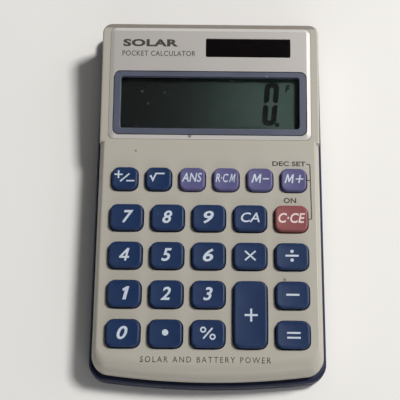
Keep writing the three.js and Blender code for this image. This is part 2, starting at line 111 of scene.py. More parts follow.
# Across, and along the tilted face from the bend.
PANEL = ((-31.95, 31.95), (0.44, 37.47))
BORDER = ((-30.4, 30.4), (1.9, 22.6))
WINDOW = ((-28.3, 28.3), (3.87, 21.0))
LENS = ((-29.2, 29.2), (2.95, 21.95))
CELL = ((-28.6, 28.6), (3.6, 21.6))
SOLAR = ((-1.4, 25.4), (27.7, 33.7))
PANEL_CORNER = 1.9
BORDER_CORNER = 1.9
PANEL_THICK = 0.6  # height of the silver panel above the tilted face
CELL_TOP = -2.15  # height of the liquid crystal cell's top

KEY_NODES = [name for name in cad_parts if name.startswith("key_") and name != "key_mat"]


def srgb(*levels):
    """A colour as it looks on a screen, three levels from 0 to 255, made linear."""
    return tuple(((c / 255 + 0.055) / 1.055) ** 2.4 if c > 10 else c / 3294.6 for c in levels)


# ---- settings ---------------------------------------------------------------------------------


def colour_property(name, description, value):
    return FloatVectorProperty(
        name=name, description=description, default=value, min=0, max=1, size=3, subtype="COLOR"
    )


def length_property(name, description, value):
    """A length, given in millimetres and held in metres."""
    return FloatProperty(
        name=name, description=description, default=value * MM, min=0, soft_max=20 * MM,
        precision=5, unit="LENGTH",
    )


def number_property(name, description, value, unit="NONE"):
    return FloatProperty(name=name, description=description, default=value, min=0, unit=unit)


def in_mm(settings):
    """The settings of one group, with every length in millimetres."""
    values = {}
    for name in type(settings).__annotations__:
        value = getattr(settings, name)
        is_length = settings.bl_rna.properties[name].unit == "LENGTH"
        values[name] = value / MM if is_length else value
    return SimpleNamespace(**values)


class CaseSettings(bpy.types.PropertyGroup):
    """Sizes and colours of the beige case."""

    colour: colour_property("Case colour", "Moulded beige plastic", srgb(188, 184, 173))
    aged_colour: colour_property("Aged colour", "Yellowed plastic", srgb(183, 178, 165))
    print_colour: colour_property("Print colour", "Dark lettering on the case", srgb(62, 56, 52))
    side_round: length_property("Side rounding", "How far the sides lean in", 1.9)
    end_round: length_property("End rounding", "Rounding across the lower end", 5.0)
    display_round: length_property("Display rounding", "Rounding beside the display", 0.55)
    lip: length_property("Key hole lip", "Rounding of the key holes", 0.12)
    curve_steps: IntProperty(
        name="Curve steps", description="Steps in a rounded corner", default=10, min=1
    )
    roughness: number_property("Roughness", "Of the case", 0.42)


class DisplaySettings(bpy.types.PropertyGroup):
    """Sizes and colours of the display panel and what it holds."""

    panel_colour: colour_property("Panel colour", "Painted silver panel", srgb(198, 194, 191))
    border_colour: colour_property("Border colour", "Slate blue window border", srgb(88, 94, 113))
    glass_colour: colour_property("Display colour", "Liquid crystal at rest", srgb(9, 13, 13))
    # painted reflection: the cell is painted towards this colour on its right, where it reflects
    # the light
    lit_colour: colour_property("Lit colour", "Liquid crystal facing the light", srgb(47, 62, 58))
    segment_colour: colour_property("Segment colour", "Liquid crystal when on", srgb(3, 4, 7))
    solar_colour: colour_property("Solar colour", "Solar cell", srgb(12, 6, 9))
    chamfer: length_property("Panel chamfer", "Width of the panel's sloping edge", 1.2)
    digit_height: length_property("Digit height", "Height of a displayed digit", 14.3)
    digit_width: length_property("Digit width", "Width of a displayed digit", 4.65)
    segment: length_property("Segment width", "Width of one segment", 1.78)
    slant: FloatProperty(
        name="Slant", description="Lean of the digits", default=math.radians(5), subtype="ANGLE"
    )


class KeySettings(bpy.types.PropertyGroup):
    """Sizes and colours of the keys."""

    navy: colour_property("Navy", "Number and function keys", srgb(27, 51, 92))
    purple: colour_property("Purple", "Memory keys", srgb(96, 94, 140))
    red: colour_property("Red", "Clear key", srgb(146, 82, 84))
    legend_colour: colour_property("Legend colour", "Printing on the keys", srgb(206, 218, 232))
    warm_legend_colour: colour_property(
        "Warm legend colour", "Legend on the red key", srgb(236, 214, 212)
    )
    shoulder: length_property("Shoulder", "Rounding of a key's upper edge", 0.5)
    dish: length_property("Dish", "Depth of the hollow in a key's top", 0.15)
    draft: length_property("Draft", "How far the sides lean in", 0.12)
    corner: length_property("Corner", "Corner radius of a key", 2.1)
    bulge: number_property("Bulge", "How much a key's sides bow out", 0.022)


class CoverSettings(bpy.types.PropertyGroup):
    """Sizes and colours of the hard cover and its hinge."""

    colour: colour_property("Cover colour", "Dark blue hard cover", srgb(27, 34, 63))
    link_colour: colour_property("Link colour", "Hinge link", srgb(26, 31, 50))
    edge_round: length_property("Edge rounding", "Rounding of the cover's edge", 1.2)
    wall: length_property("Wall", "Thickness of the cover's rim", 1.0)
    plate: length_property("Plate", "Thickness of the cover's plate", 1.3)


class StageSettings(bpy.types.PropertyGroup):
    """The floor, the lights and the camera."""

    floor_colour: colour_property("Floor colour", "Plain pale floor", srgb(252, 251, 249))
    window_power: number_property("Window light", "Main light", 12.0, "POWER")
    side_power: number_property("Side light", "Broad soft light", 1.0, "POWER")
    front_power: number_property("Front light", "Weak fill", 3.6, "POWER")
    surround: number_property("Surround", "Brightest of the surroundings", 0.42)
    lens: number_property("Lens", "Focal length of the camera", 99.0, "CAMERA")


# ---- solids -----------------------------------------------------------------------------------


def bevel(solid, geom, width, segments, affect="EDGES"):
    bmesh.ops.bevel(
        solid, geom=geom, offset=width, segments=segments, profile=0.5, affect=affect,
        material=-1,
    )


def flat_rectangle(x, y, z, corner=0.0, segments=8):
    """A flat face with rounded corners."""
    solid = bmesh.new()
    solid.faces.new([solid.verts.new((x[i], y[j], z)) for i, j in ((0, 0), (1, 0), (1, 1), (0, 1))])
    if corner:
        bevel(solid, solid.verts[:], corner, segments, "VERTICES")
    return solid


def body_outline(half, low, high, bow, low_corner, high_corner, z, segments=10):
    """The flat outline of a body: straight sides, a bowed lower end and rounded corners."""
    solid = flat_rectangle((-half, half), (low + bow, high), z)
    bottom = [v for v in solid.verts if v.co.y < high]
    bevel(solid, bottom, low_corner, segments, "VERTICES")
    top = [v for v in solid.verts if v.co.y > high - 0.001]
    bevel(solid, top, high_corner, segments, "VERTICES")
    level = low + bow + 0.001
    edges = [e for e in solid.edges if all(v.co.y < level for v in e.verts)]
    bmesh.ops.subdivide_edges(solid, edges=edges, cuts=28)
    for v in solid.verts:
        if v.co.y < low + bow + low_corner:
            v.co.y -= bow * (1 - (v.co.x / half) ** 2)
    return solid


def raised(solid, top):
    """Extrudes one face where it stands and returns the new face in its place."""
    grown = bmesh.ops.extrude_face_region(solid, geom=[top])["geom"]
    new_top = next(f for f in grown if isinstance(f, bmesh.types.BMFace))
    if top.is_valid and len(solid.faces) > len(top.verts) + 2:
        bmesh.ops.delete(solid, geom=[top], context="FACES_ONLY")
    return new_top


def grown_through(outlines):
    """A closed solid that passes through outlines with equal numbers of points, lowest first."""
    solid, *others = outlines
    top = solid.faces[:][0]
    row = [tuple(v.co) for v in top.verts]
    for outline in others:
        ring = [tuple(v.co) for v in outline.faces[:][0].verts]
        goal = dict(zip(row, ring))
        top = raised(solid, top)
        for v in top.verts:
            v.co = goal[tuple(v.co)]
        row = ring
        outline.free()
    bmesh.ops.recalc_face_normals(solid, faces=solid.faces[:])
    return solid


def thicken(solid, height):
    """Extrudes a flat outline upwards into a closed solid."""
    grown = bmesh.ops.extrude_face_region(solid, geom=solid.faces[:])["geom"]
    moved = [v for v in grown if isinstance(v, bmesh.types.BMVert)]
    bmesh.ops.translate(solid, verts=moved, vec=(0, 0, height))
    bmesh.ops.recalc_face_normals(solid, faces=solid.faces[:])
    return solid


def soften(solid, where, width, segments=6):
    """Rounds every edge whose two ends satisfy a test."""
    bevel(solid, [e for e in solid.edges if all(where(v.co) for v in e.verts)], width, segments)
    return solid


def at_height(z):
    return lambda co: abs(co.z - z) < 1e-4


def quarter_turn(steps):
    """Angles from 0 to 90 degrees, with both ends."""
    return [math.pi / 2 * step / steps for step in range(steps + 1)]


def cut_off_above(solid, point):
    """Takes away what lies above a plane along the tilted face, and closes the cut."""
    bmesh.ops.bisect_plane(
        solid, geom=solid.verts[:] + solid.edges[:] + solid.faces[:], plane_co=point,
        plane_no=DISPLAY_UP, clear_outer=True,
    )
    bmesh.ops.holes_fill(solid, edges=[e for e in solid.edges if e.is_boundary])
    bmesh.ops.recalc_face_normals(solid, faces=solid.faces[:])
    return solid


def block(x, y, z, corner=0.0, edge=0.0, segments=3):
    """A box with rounded upright corners and a softened upper edge."""
    solid = thicken(flat_rectangle(x, y, z[0], corner, 6), z[1] - z[0])
    if edge:
        soften(solid, at_height(z[1]), edge, segments)
    return solid


def stack(x, y, corner, rings, segments=8, bulge=0.0):
    """A closed solid that follows a rounded rectangle, with a margin at each height."""
    solid = flat_rectangle(x, y, rings[0][1], corner, segments)
    if bulge:
        reach = corner * 1.5
        sides = [e for e in solid.edges if e.calc_length() > reach]
        bmesh.ops.subdivide_edges(solid, edges=sides, cuts=7)
    core = [(x[0] + corner, x[1] - corner), (y[0] + corner, y[1] - corner)]
    middle = Vector(((x[0] + x[1]) / 2, (y[0] + y[1]) / 2))
    half = Vector(((x[1] - x[0]) / 2, (y[1] - y[0]) / 2))
    top = solid.faces[:][0]
    spots = {}
    for v in top.verts:
        anchor = Vector((min(max(v.co[i], core[i][0]), core[i][1]) for i in (0, 1)))
        way = (v.co.xy - anchor).normalized()
        spots[tuple(v.co)] = (anchor, way)
    for number, (margin, z) in enumerate(rings):
        top = raised(solid, top) if number else top
        moved = {}
        for v in top.verts:
            anchor, way = spots[tuple(v.co)]
            place = anchor + way * (corner + margin)
            u, w = (place - middle).x / half.x, (place - middle).y / half.y
            shrink = Vector((1 - bulge * w * w, 1 - bulge * u * u))
            v.co = (*(middle + (place - middle) * shrink), z)
            moved[tuple(v.co)] = (anchor, way)
        spots = moved
    bmesh.ops.recalc_face_normals(solid, faces=solid.faces[:])
    return solid


def round_bar(radius, start, end, segments=28, tip=None):
    """A cylinder between two points, or a cone where the tip has its own radius."""
    start, end = Vector(start), Vector(end)
    solid = bmesh.new()
    bmesh.ops.create_cone(
        solid, cap_ends=True, segments=segments, radius1=radius,
        radius2=radius if tip is None else tip, depth=(end - start).length,
    )
    turn = (end - start).to_track_quat("Z", "Y").to_matrix().to_4x4()
    solid.transform(Matrix.Translation((start + end) / 2) @ turn)
    solid.normal_update()
    return solid


def bar_along(pin, radius, start, end, segments=28):
    """A bar on the line of a hinge pin, from one place to another across the body."""
    return round_bar(radius, (start, pin.y, pin.z), (end, pin.y, pin.z), segments)


def post(middle, radius, low, high, segments=28, tip=None):
    """An upright bar."""
    return round_bar(radius, (*middle.xy, low), (*middle.xy, high), segments, tip)


def joined(solids):
    """One mesh out of several solids that don't touch."""
    whole = bmesh.new()
    for solid in solids:
        mesh = bpy.data.meshes.new("scratch")
        solid.to_mesh(mesh)
        whole.from_mesh(mesh)
        bpy.data.meshes.remove(mesh)
        solid.free()
    return whole


def combine(base, tool, operation="DIFFERENCE"):
    """Cuts, joins or intersects two closed solids and returns the new one."""
    pair = []
    for solid in (base, tool):
        mesh = bpy.data.meshes.new("scratch")
        solid.to_mesh(mesh)
        solid.free()
        pair.append(bpy.data.objects.new("scratch", mesh))
        bpy.context.scene.collection.objects.link(pair[-1])
    modifier = pair[0].modifiers.new("Combine", "BOOLEAN")
    modifier.operation, modifier.solver, modifier.object = operation, "EXACT", pair[1]
    graph = bpy.context.evaluated_depsgraph_get()
    mesh = bpy.data.meshes.new_from_object(pair[0].evaluated_get(graph))
    whole = bmesh.new()
    whole.from_mesh(mesh)
    bpy.data.meshes.remove(mesh)
    for scratch in pair:
        data = scratch.data
        bpy.data.objects.remove(scratch)
        bpy.data.meshes.remove(data)
    bmesh.ops.remove_doubles(whole, verts=whole.verts[:], dist=1e-4)
    bmesh.ops.dissolve_degenerate(whole, edges=whole.edges[:], dist=1e-4)
    if not whole.faces:
        raise RuntimeError(f"nothing was left after {operation.lower()}")
    return whole


def placed(solid, matrix=ONTO_DISPLAY):
    solid.transform(matrix)
    return solid


def make_piece(name, solid, look, body=BODY, replaces=(), smooth=35):
    """Finishes a piece: metres, shading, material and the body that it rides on."""
    bmesh.ops.scale(solid, vec=(MM, MM, MM), verts=solid.verts[:])
    mesh = bpy.data.meshes.new(name)
    solid.to_mesh(mesh)
    solid.free()
    mesh.shade_smooth()
    mesh.set_sharp_from_angle(angle=math.radians(smooth))
    mesh.materials.append(look)
    piece = bpy.data.objects.new(name, mesh)
    bpy.context.scene.collection.objects.link(piece)
    weigh = piece.modifiers.new("Weighted normals", "WEIGHTED_NORMAL")
    weigh.keep_sharp = True
    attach(piece, body)
    if replaces:
        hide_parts(*replaces)
    return piece


# ---- lettering and drawn strokes --------------------------------------------------------------


def lettering(text, width, height, slant=0.0, weight=0.0, spacing=1.0):
    """Letters of the built-in font as closed solids, centred, with a given width and height."""
    curve = bpy.data.curves.new("scratch", "FONT")
    curve.body = text
    curve.shear = slant
    curve.offset = weight
    curve.space_character = spacing
    curve.resolution_u = 3
    curve.extrude = 0.01
    scratch = bpy.data.objects.new("scratch", curve)
    bpy.context.scene.collection.objects.link(scratch)
    graph = bpy.context.evaluated_depsgraph_get()
    mesh = bpy.data.meshes.new_from_object(scratch.evaluated_get(graph))
    solid = bmesh.new()
    solid.from_mesh(mesh)
    bpy.data.objects.remove(scratch)
    bpy.data.meshes.remove(mesh)
    bpy.data.curves.remove(curve)
    bmesh.ops.remove_doubles(solid, verts=solid.verts[:], dist=1e-5)
    low = [min(v.co[i] for v in solid.verts) for i in (0, 1)]
    high = [max(v.co[i] for v in solid.verts) for i in (0, 1)]
    tall = height / (high[1] - low[1])
    wide = tall if width is None else width / (high[0] - low[0])
    for v in solid.verts:
        v.co.x = (v.co.x - (low[0] + high[0]) / 2) * wide
        v.co.y = (v.co.y - (low[1] + high[1]) / 2) * tall
    return solid


def drawn_line(points, width):
    """A thin ribbon of even width through some points, as a closed solid."""
    solid = bmesh.new()
    points = [Vector(p) for p in points]
    rungs = []
    for i, point in enumerate(points):
        ways = []
        if i:
            ways.append((point - points[i - 1]).normalized())
        if i + 1 < len(points):
            ways.append((points[i + 1] - point).normalized())
        way = sum(ways, Vector((0, 0))).normalized()
        across = Vector((-way.y, way.x)) * width / 2 / max(way.dot(ways[0]), 0.3)
        rungs.append([solid.verts.new((*(point + side * across), -0.01)) for side in (1, -1)])
    for (a, b), (c, d) in zip(rungs, rungs[1:]):
        solid.faces.new((a, b, d, c))
    return thicken(solid, 0.02)


def drawn_dot(x, y, radius, hole=0.0):
    dot = round_bar(radius, (x, y, -0.01), (x, y, 0.01), 24)
    return combine(dot, round_bar(hole, (x, y, -1), (x, y, 1), 24)) if hole else dot


def drawn_shape(points):
    """A thin solid with a straight-sided outline."""
    solid = bmesh.new()
    solid.faces.new([solid.verts.new((*point, -0.01)) for point in points])
    return thicken(solid, 0.02)


def lay_on(solid, place, height):
    """Moves thin lettering to a place, on a level or on a surface with a height at each point."""
    for v in solid.verts:
        top = v.co.z > 0
        v.co.x += place[0]
        v.co.y += place[1]
        level = height(v.co.x, v.co.y) if callable(height) else height
        v.co.z = level + (0.02 if top else -0.02)
    bmesh.ops.recalc_face_normals(solid, faces=solid.faces[:])
    if solid.calc_volume(signed=True) < 0:
        bmesh.ops.reverse_faces(solid, faces=solid.faces[:])
    return solid


# ---- shared surface effects -------------------------------------------------------------------


def feed(tree, socket, value):
    """Feeds an input from another socket or with a constant."""
    if isinstance(value, bpy.types.NodeSocket):
        tree.links.new(value, socket)
    else:
        socket.default_value = value


def add_node(tree, kind, inputs=None, **settings):
    """Adds a node, sets it up, and feeds each input from a socket or a constant."""
    node = tree.nodes.new(kind)
    for name, value in settings.items():
        setattr(node, name, value)
    for name, value in (inputs or {}).items():
        feed(tree, node.inputs[name], value)
    return node


def calculate(tree, operation, *values, clamp=False):
    inputs = dict(enumerate(values))
    return add_node(
        tree, "ShaderNodeMath", inputs, operation=operation, use_clamp=clamp
    ).outputs[0]


def noise(tree, vector, scale, detail):
    inputs = {"Vector": vector, "Scale": scale, "Detail": detail}
    return add_node(tree, "ShaderNodeTexNoise", inputs).outputs[0]


def spread_between(tree, value, low, high):
    """0 below low, 1 above high, smooth between."""
    node = add_node(
        tree, "ShaderNodeMapRange", {"Value": value, "From Min": low, "From Max": high},
        interpolation_type="SMOOTHSTEP",
    )
    return node.outputs["Result"]


def blend_colours(tree, share, first, second):
    node = add_node(tree, "ShaderNodeMix", data_type="RGBA")
    for index, value in ((0, share), (6, first), (7, second)):  # factor, A and B of the colours
        feed(tree, node.inputs[index], value)
    return node.outputs[2]


def new_group(name, inputs, outputs):
    """A shader node group with named sockets: its tree, its input node and its output node."""
    tree = bpy.data.node_groups.new(name, "ShaderNodeTree")
    for label, kind, value in inputs:
        socket = tree.interface.new_socket(label, in_out="INPUT", socket_type=kind)
        if value is not None:
            socket.default_value = value
    for label, kind in outputs:
        tree.interface.new_socket(label, in_out="OUTPUT", socket_type=kind)
    return tree, tree.nodes.new("NodeGroupInput"), tree.nodes.new("NodeGroupOutput")


VECTOR, NUMBER, COLOUR = "NodeSocketVector", "NodeSocketFloat", "NodeSocketColor"


def mould_grain_group():
    """The fine texture that a spark-eroded mould leaves."""
    tree, given, result = new_group(
        "Mould grain",
        [("Vector", VECTOR, None), ("Fineness", NUMBER, 2500.0), ("Coarse Share", NUMBER, 0.3)],
        [("Height", NUMBER)],
    )
    fineness = given.outputs["Fineness"]
    fine = noise(tree, given.outputs["Vector"], fineness, 2.0)
    wide = calculate(tree, "MULTIPLY", fineness, 0.12)
    coarse = noise(tree, given.outputs["Vector"], wide, 1.0)
    share = given.outputs["Coarse Share"]
    rest = calculate(tree, "SUBTRACT", 1.0, share)
    height = calculate(
        tree, "ADD", calculate(tree, "MULTIPLY", fine, rest),
        calculate(tree, "MULTIPLY", coarse, share),
    )
    tree.links.new(height, result.inputs["Height"])
    return tree


def tone_drift_group():
    """Slow changes of colour over a moulded or painted surface."""
    tree, given, result = new_group(
        "Tone drift",
        [
            ("Vector", VECTOR, None),
            ("Colour", COLOUR, (0.5, 0.5, 0.5, 1)),
            ("Second Colour", COLOUR, (0.4, 0.4, 0.4, 1)),
            ("Patches", NUMBER, 45.0),
            ("Amount", NUMBER, 0.6),
        ],
        [("Colour", COLOUR)],
    )
    patches = noise(tree, given.outputs["Vector"], given.outputs["Patches"], 3.0)
    share = calculate(
        tree, "MULTIPLY", spread_between(tree, patches, 0.35, 0.68), given.outputs["Amount"]
    )
    colour = blend_colours(tree, share, given.outputs["Colour"], given.outputs["Second Colour"])
    tree.links.new(colour, result.inputs["Colour"])
    return tree


def marks_group():
    """Dust specks and hair-fine scratches."""
    tree, given, result = new_group(
        "Specks and scratches",
        [
            ("Vector", VECTOR, None),
            ("Speck Density", NUMBER, 700.0),
            ("Specks", NUMBER, 0.1),
            ("Scratches", NUMBER, 0.1),
        ],
        [("Specks", NUMBER), ("Scratches", NUMBER)],
    )
    vector = given.outputs["Vector"]
    cells = add_node(
        tree, "ShaderNodeTexVoronoi",
        {"Vector": vector, "Scale": given.outputs["Speck Density"]},
    )
    chance = add_node(tree, "ShaderNodeSeparateColor", {"Color": cells.outputs["Color"]})
    chosen = calculate(
        tree, "GREATER_THAN", chance.outputs[0],
        calculate(tree, "SUBTRACT", 1.0, given.outputs["Specks"]),
    )
    size = calculate(tree, "MULTIPLY_ADD", chance.outputs[1], 0.16, 0.05)
    near = calculate(tree, "LESS_THAN", cells.outputs["Distance"], size)
    tree.links.new(calculate(tree, "MULTIPLY", chosen, near), result.inputs["Specks"])

    lines = None
    for turn, along in ((0.7, 60.0), (-0.45, 85.0), (1.9, 70.0)):
        aligned = add_node(
            tree, "ShaderNodeMapping",
            {"Vector": vector, "Rotation": (0, 0, turn), "Scale": (along, along * 38, along)},
        )
        line = spread_between(tree, noise(tree, aligned.outputs[0], 1.0, 1.0), 0.74, 0.78)
        lines = line if lines is None else calculate(tree, "MAXIMUM", lines, line)
    shown = calculate(tree, "MULTIPLY", lines, given.outputs["Scratches"])
    tree.links.new(shown, result.inputs["Scratches"])
    return tree


def edge_wear_group():
    """Finds worn outer edges: where a rounded normal leaves the surface's own."""
    tree, given, result = new_group(
        "Edge wear",
        [("Vector", VECTOR, None), ("Reach", NUMBER, 0.0004), ("Amount", NUMBER, 0.5)],
        [("Mask", NUMBER)],
    )
    rounded = add_node(tree, "ShaderNodeBevel", {"Radius": given.outputs["Reach"]}, samples=4)
    surface = add_node(tree, "ShaderNodeNewGeometry")
    turned = add_node(
        tree, "ShaderNodeVectorMath", {0: rounded.outputs[0], 1: surface.outputs["Normal"]},
        operation="DOT_PRODUCT",
    )
    bend = calculate(tree, "SUBTRACT", 1.0, turned.outputs["Value"])
    edge = spread_between(tree, bend, 0.015, 0.12)
    patchy = spread_between(tree, noise(tree, given.outputs["Vector"], 260.0, 3.0), 0.42, 0.66)
    worn = calculate(tree, "MULTIPLY", edge, patchy)
    mask = calculate(tree, "MULTIPLY", worn, given.outputs["Amount"])
    tree.links.new(mask, result.inputs["Mask"])
    return tree


EFFECTS = {
    "grain": mould_grain_group,
    "tone": tone_drift_group,
    "marks": marks_group,
    "wear": edge_wear_group,
}
effect_trees = {}


def add_group(tree, kind, inputs):
    """Places a shared effect in a material, with its own values."""
    if kind not in effect_trees:
        effect_trees[kind] = EFFECTS[kind]()
    return add_node(tree, "ShaderNodeGroup", inputs, node_tree=effect_trees[kind])


def opaque(colour):
    return (*colour, 1.0)


def darker(colour, share):
    return tuple(c * share for c in colour)


def new_look(name):
    """A new material: itself, its tree, its shader and the object's own coordinates."""
    look = bpy.data.materials.new(name)
    look.use_nodes = True
    tree = look.node_tree
    own = tree.nodes.new("ShaderNodeTexCoord")
    return look, tree, tree.nodes["Principled BSDF"], own


LEVEL_ENOUGH = (0.93, 0.985)  # cosines between a sloping edge and the tilted face


def finish_of(
    name,
    colour,
    second,
    roughness,
    patches=45.0,
    drift=0.6,
    fineness=2500.0,
    coarse=0.3,
    relief=0.02,
    density=700.0,
    specks=0.05,
    speck_colour=(0.6, 0.58, 0.54),
    scratches=0.1,
    scratch_colour=(0.62, 0.6, 0.57),
    rough_spread=0.1,
    wear=0.0,
    wear_colour=(0.5, 0.5, 0.5),
    metallic=0.0,
    specular=0.5,
    coat=0.0,
    coat_roughness=0.1,
    across=None,
    slope_highlight_colour=None,
):
    """A surface with drifting tone, grain, specks, scratches and, if asked for, worn edges.

    Across names an axis, where on it a painted shade or painted reflection starts and where it is
    full, and its colour.
    The slope highlight colour, a painted highlight, goes on whatever doesn't lie along the tilted
    face. Relief is in millimetres.
    """
    look, tree, shader, own = new_look(name)
    place = own.outputs["Object"]
    tone = add_group(
        tree,
        "tone",
        {
            "Vector": place,
            "Colour": opaque(colour),
            "Second Colour": opaque(second),
            "Patches": patches,
            "Amount": drift,
        },
    ).outputs[0]
    if across:
        axis, start, end, far_colour = across
        sides = add_node(tree, "ShaderNodeSeparateXYZ", {"Vector": place})
        share = spread_between(tree, sides.outputs[axis], start, end)
        tone = blend_colours(tree, share, tone, opaque(far_colour))
    # painted highlight: sloping edges are painted lighter than the face
    if slope_highlight_colour:
        facing = add_node(
            tree, "ShaderNodeVectorMath", {0: own.outputs["Normal"], 1: DISPLAY_UP},
            operation="DOT_PRODUCT",
        )
        flat = spread_between(tree, facing.outputs["Value"], *LEVEL_ENOUGH)
        tone = blend_colours(tree, flat, opaque(slope_highlight_colour), tone)
    marks = add_group(
        tree, "marks",
        {"Vector": place, "Speck Density": density, "Specks": specks, "Scratches": scratches},
    )
    tone = blend_colours(tree, marks.outputs["Specks"], tone, opaque(speck_colour))
    tone = blend_colours(tree, marks.outputs["Scratches"], tone, opaque(scratch_colour))
    if wear:
        worn = add_group(tree, "wear", {"Vector": place, "Amount": wear})
        tone = blend_colours(tree, worn.outputs["Mask"], tone, opaque(wear_colour))
    tree.links.new(tone, shader.inputs["Base Color"])

    cloud = noise(tree, place, patches * 2.5, 4.0)
    rough = calculate(tree, "MULTIPLY_ADD", cloud, rough_spread * 2, roughness - rough_spread)
    rough = calculate(tree, "MULTIPLY_ADD", marks.outputs["Scratches"], 0.25, rough, clamp=True)
    tree.links.new(rough, shader.inputs["Roughness"])

    grain = add_group(
        tree, "grain", {"Vector": place, "Fineness": fineness, "Coarse Share": coarse}
    )
    height = calculate(tree, "MULTIPLY_ADD", marks.outputs["Scratches"], -0.8, grain.outputs[0])
    bump = add_node(
        tree, "ShaderNodeBump", {"Height": height, "Distance": relief * MM, "Strength": 0.8}
    )
    tree.links.new(bump.outputs[0], shader.inputs["Normal"])

    shader.inputs["Metallic"].default_value = metallic
    shader.inputs["Specular IOR Level"].default_value = specular
    shader.inputs["Coat Weight"].default_value = coat
    shader.inputs["Coat Roughness"].default_value = coat_roughness
    return look


def clear_plastic(name):
    """The acrylic window: clear, hard and faintly scratched. Lamps shine through it."""
    look, tree, shader, own = new_look(name)
    place = own.outputs["Object"]
    marks = add_group(
        tree, "marks", {"Vector": place, "Speck Density": 420.0, "Specks": 0.02, "Scratches": 0.3}
    )
    rough = calculate(tree, "MULTIPLY_ADD", marks.outputs["Scratches"], 0.25, 0.03, clamp=True)
    tree.links.new(rough, shader.inputs["Roughness"])
    bump = add_node(
        tree, "ShaderNodeBump",
        {"Height": marks.outputs["Scratches"], "Distance": 0.004 * MM, "Strength": 0.4},
    )
    tree.links.new(bump.outputs[0], shader.inputs["Normal"])
    shader.inputs["Base Color"].default_value = (0.93, 0.96, 0.95, 1)
    shader.inputs["Transmission Weight"].default_value = 1.0
    shader.inputs["IOR"].default_value = 1.49
    see = add_node(tree, "ShaderNodeBsdfTransparent", {"Color": (0.93, 0.95, 0.94, 1)})
    ray = tree.nodes.new("ShaderNodeLightPath")
    either = tree.nodes.new("ShaderNodeMixShader")
    tree.links.new(ray.outputs["Is Shadow Ray"], either.inputs[0])
    tree.links.new(shader.outputs[0], either.inputs[1])
    tree.links.new(see.outputs[0], either.inputs[2])
    tree.links.new(either.outputs[0], tree.nodes["Material Output"].inputs["Surface"])
    return look


# ---- the case ---------------------------------------------------------------------------------


def key_rectangle(node):
    """The sides of a key's cap, without its hidden flange, and its top."""
    low, high = box_mm(node)
    return (low.x + FLANGE, high.x - FLANGE), (low.y + FLANGE, high.y - FLANGE), high.z


# painted shade: the case's rim above the panel is painted darker over this span
PAINTED_RIM_SHADE = (0.0538, 0.0545)  # where the end above the panel darkens, in metres


def case_look(settings):
    return finish_of(
        "Beige moulded plastic", settings.colour, settings.aged_colour, settings.roughness,
        patches=38.0, drift=0.5, fineness=3200.0, relief=0.012, density=260.0, specks=0.03,
        speck_colour=srgb(140, 132, 118), scratches=0.25, scratch_colour=srgb(158, 150, 136),
        rough_spread=0.06, wear=0.35, wear_colour=srgb(206, 200, 188),
        # painted shade: the rim above the panel is painted darker
        across=("Y", *PAINTED_RIM_SHADE, srgb(142, 136, 128)),
    )


class CALCULATOR_OT_front_case(bpy.types.Operator):
    """Builds the front half of the case, with its key holes and display end"""

    bl_idname = "calculator.front_case"
    bl_label = "Front case"

    def execute(self, context):
        settings = in_mm(context.scene.calculator_case)
        keys = in_mm(context.scene.calculator_keys)
        steps = settings.curve_steps
        tall = FACE - PARTING
        overlap = 0.03
        levels = [(PARTING, 0, 0)]
        for turn in quarter_turn(14):
            end = settings.end_round * (1 - math.cos(turn))
            z = FACE - settings.end_round * (1 - math.sin(turn))
            levels.append((z, settings.side_round * (1 - math.cos(turn)), end))
        case = grown_through(
            [
                body_outline(
                    HALF_WIDTH - side, BODY_BOTTOM + end, DISPLAY_START + 6, BOW,
                    LOW_CORNER - side, HIGH_CORNER - side, z, steps,
                )
                for z, side, end in levels
            ]
        )

        half = HALF_WIDTH - overlap
        display = block((-half, half), (DISPLAY_START - 0.6, BODY_TOP), (PARTING, 30))
        far_edges = [e for e in display.edges if all(v.co.y > BODY_TOP - 1 for v in e.verts)]
        upright = [e for e in far_edges if abs(e.verts[0].co.z - e.verts[1].co.z) > 1]
        bevel(display, upright, HIGH_CORNER, steps)
        cut_off_above(display, DISPLAY_BEND)
        soften(
            display, lambda co: abs((co - DISPLAY_BEND).dot(DISPLAY_UP)) < 1e-3,
            settings.display_round, 8,
        )
        case = combine(case, display, "UNION")

        inside = body_outline(
            HALF_WIDTH - WALL, BODY_BOTTOM + 1.7, DISPLAY_START - 2, BOW, LOW_CORNER - WALL, 1,
            PARTING - 1, 4,
        )
        case = combine(case, thicken(inside, tall + 1 - FACE_THICK))
        half = HALF_WIDTH - WALL
        under = block((-half, half), (DISPLAY_START - 2.5, BODY_TOP - WALL), (PARTING - 1, 30))
        roof = 2.6  # thickness of the display end's face
        case = combine(case, cut_off_above(under, DISPLAY_BEND - DISPLAY_UP * roof))

        gap = 0.07  # round the panel in its pocket
        rings = [(gap, -1.35), (gap, -0.06), (gap + 0.06, 0.01), (gap + 0.06, 3)]
        case = combine(case, placed(stack(*PANEL, PANEL_CORNER - 0.15, rings)))
        case = combine(case, placed(stack(*LENS, 0.55, [(0.25, -6), (0.25, 1)], 3)))

        holes = []
        for node in KEY_NODES:
            x, y, _ = key_rectangle(node)
            rings = [(KEY_CLEARANCE, FACE - 3), (KEY_CLEARANCE, FACE - settings.lip)]
            for turn in quarter_turn(4)[1:]:
                out = settings.lip * (1 - math.cos(turn))
                rings.append((KEY_CLEARANCE + out, FACE - settings.lip * (1 - math.sin(turn))))
            rings.append((rings[-1][0] + 0.02, FACE + 0.5))
            holes.append(stack(x, y, keys.corner, rings, 6, keys.bulge))
        case = combine(case, joined(holes))

        low, high = PIN_BODY.z - EAR_RADIUS, PIN_BODY.z + EAR_RADIUS
        for side in (-1, 1):
            start, end = sorted(side * reach for reach in EAR_SPAN)
            ear = block((start, end), (BODY_TOP - 0.3, PIN_BODY.y), (low, high), 0.05)
            ear = combine(ear, bar_along(PIN_BODY, EAR_RADIUS, start, end), "UNION")
            ear = combine(ear, bar_along(PIN_BODY, PIN_BORE, start - 1, end + 1, 20))
            case = combine(case, ear, "UNION")
        make_piece(
            "front_case", case, case_look(settings),
            replaces=("front_shell",), smooth=32,
        )
        return {"FINISHED"}


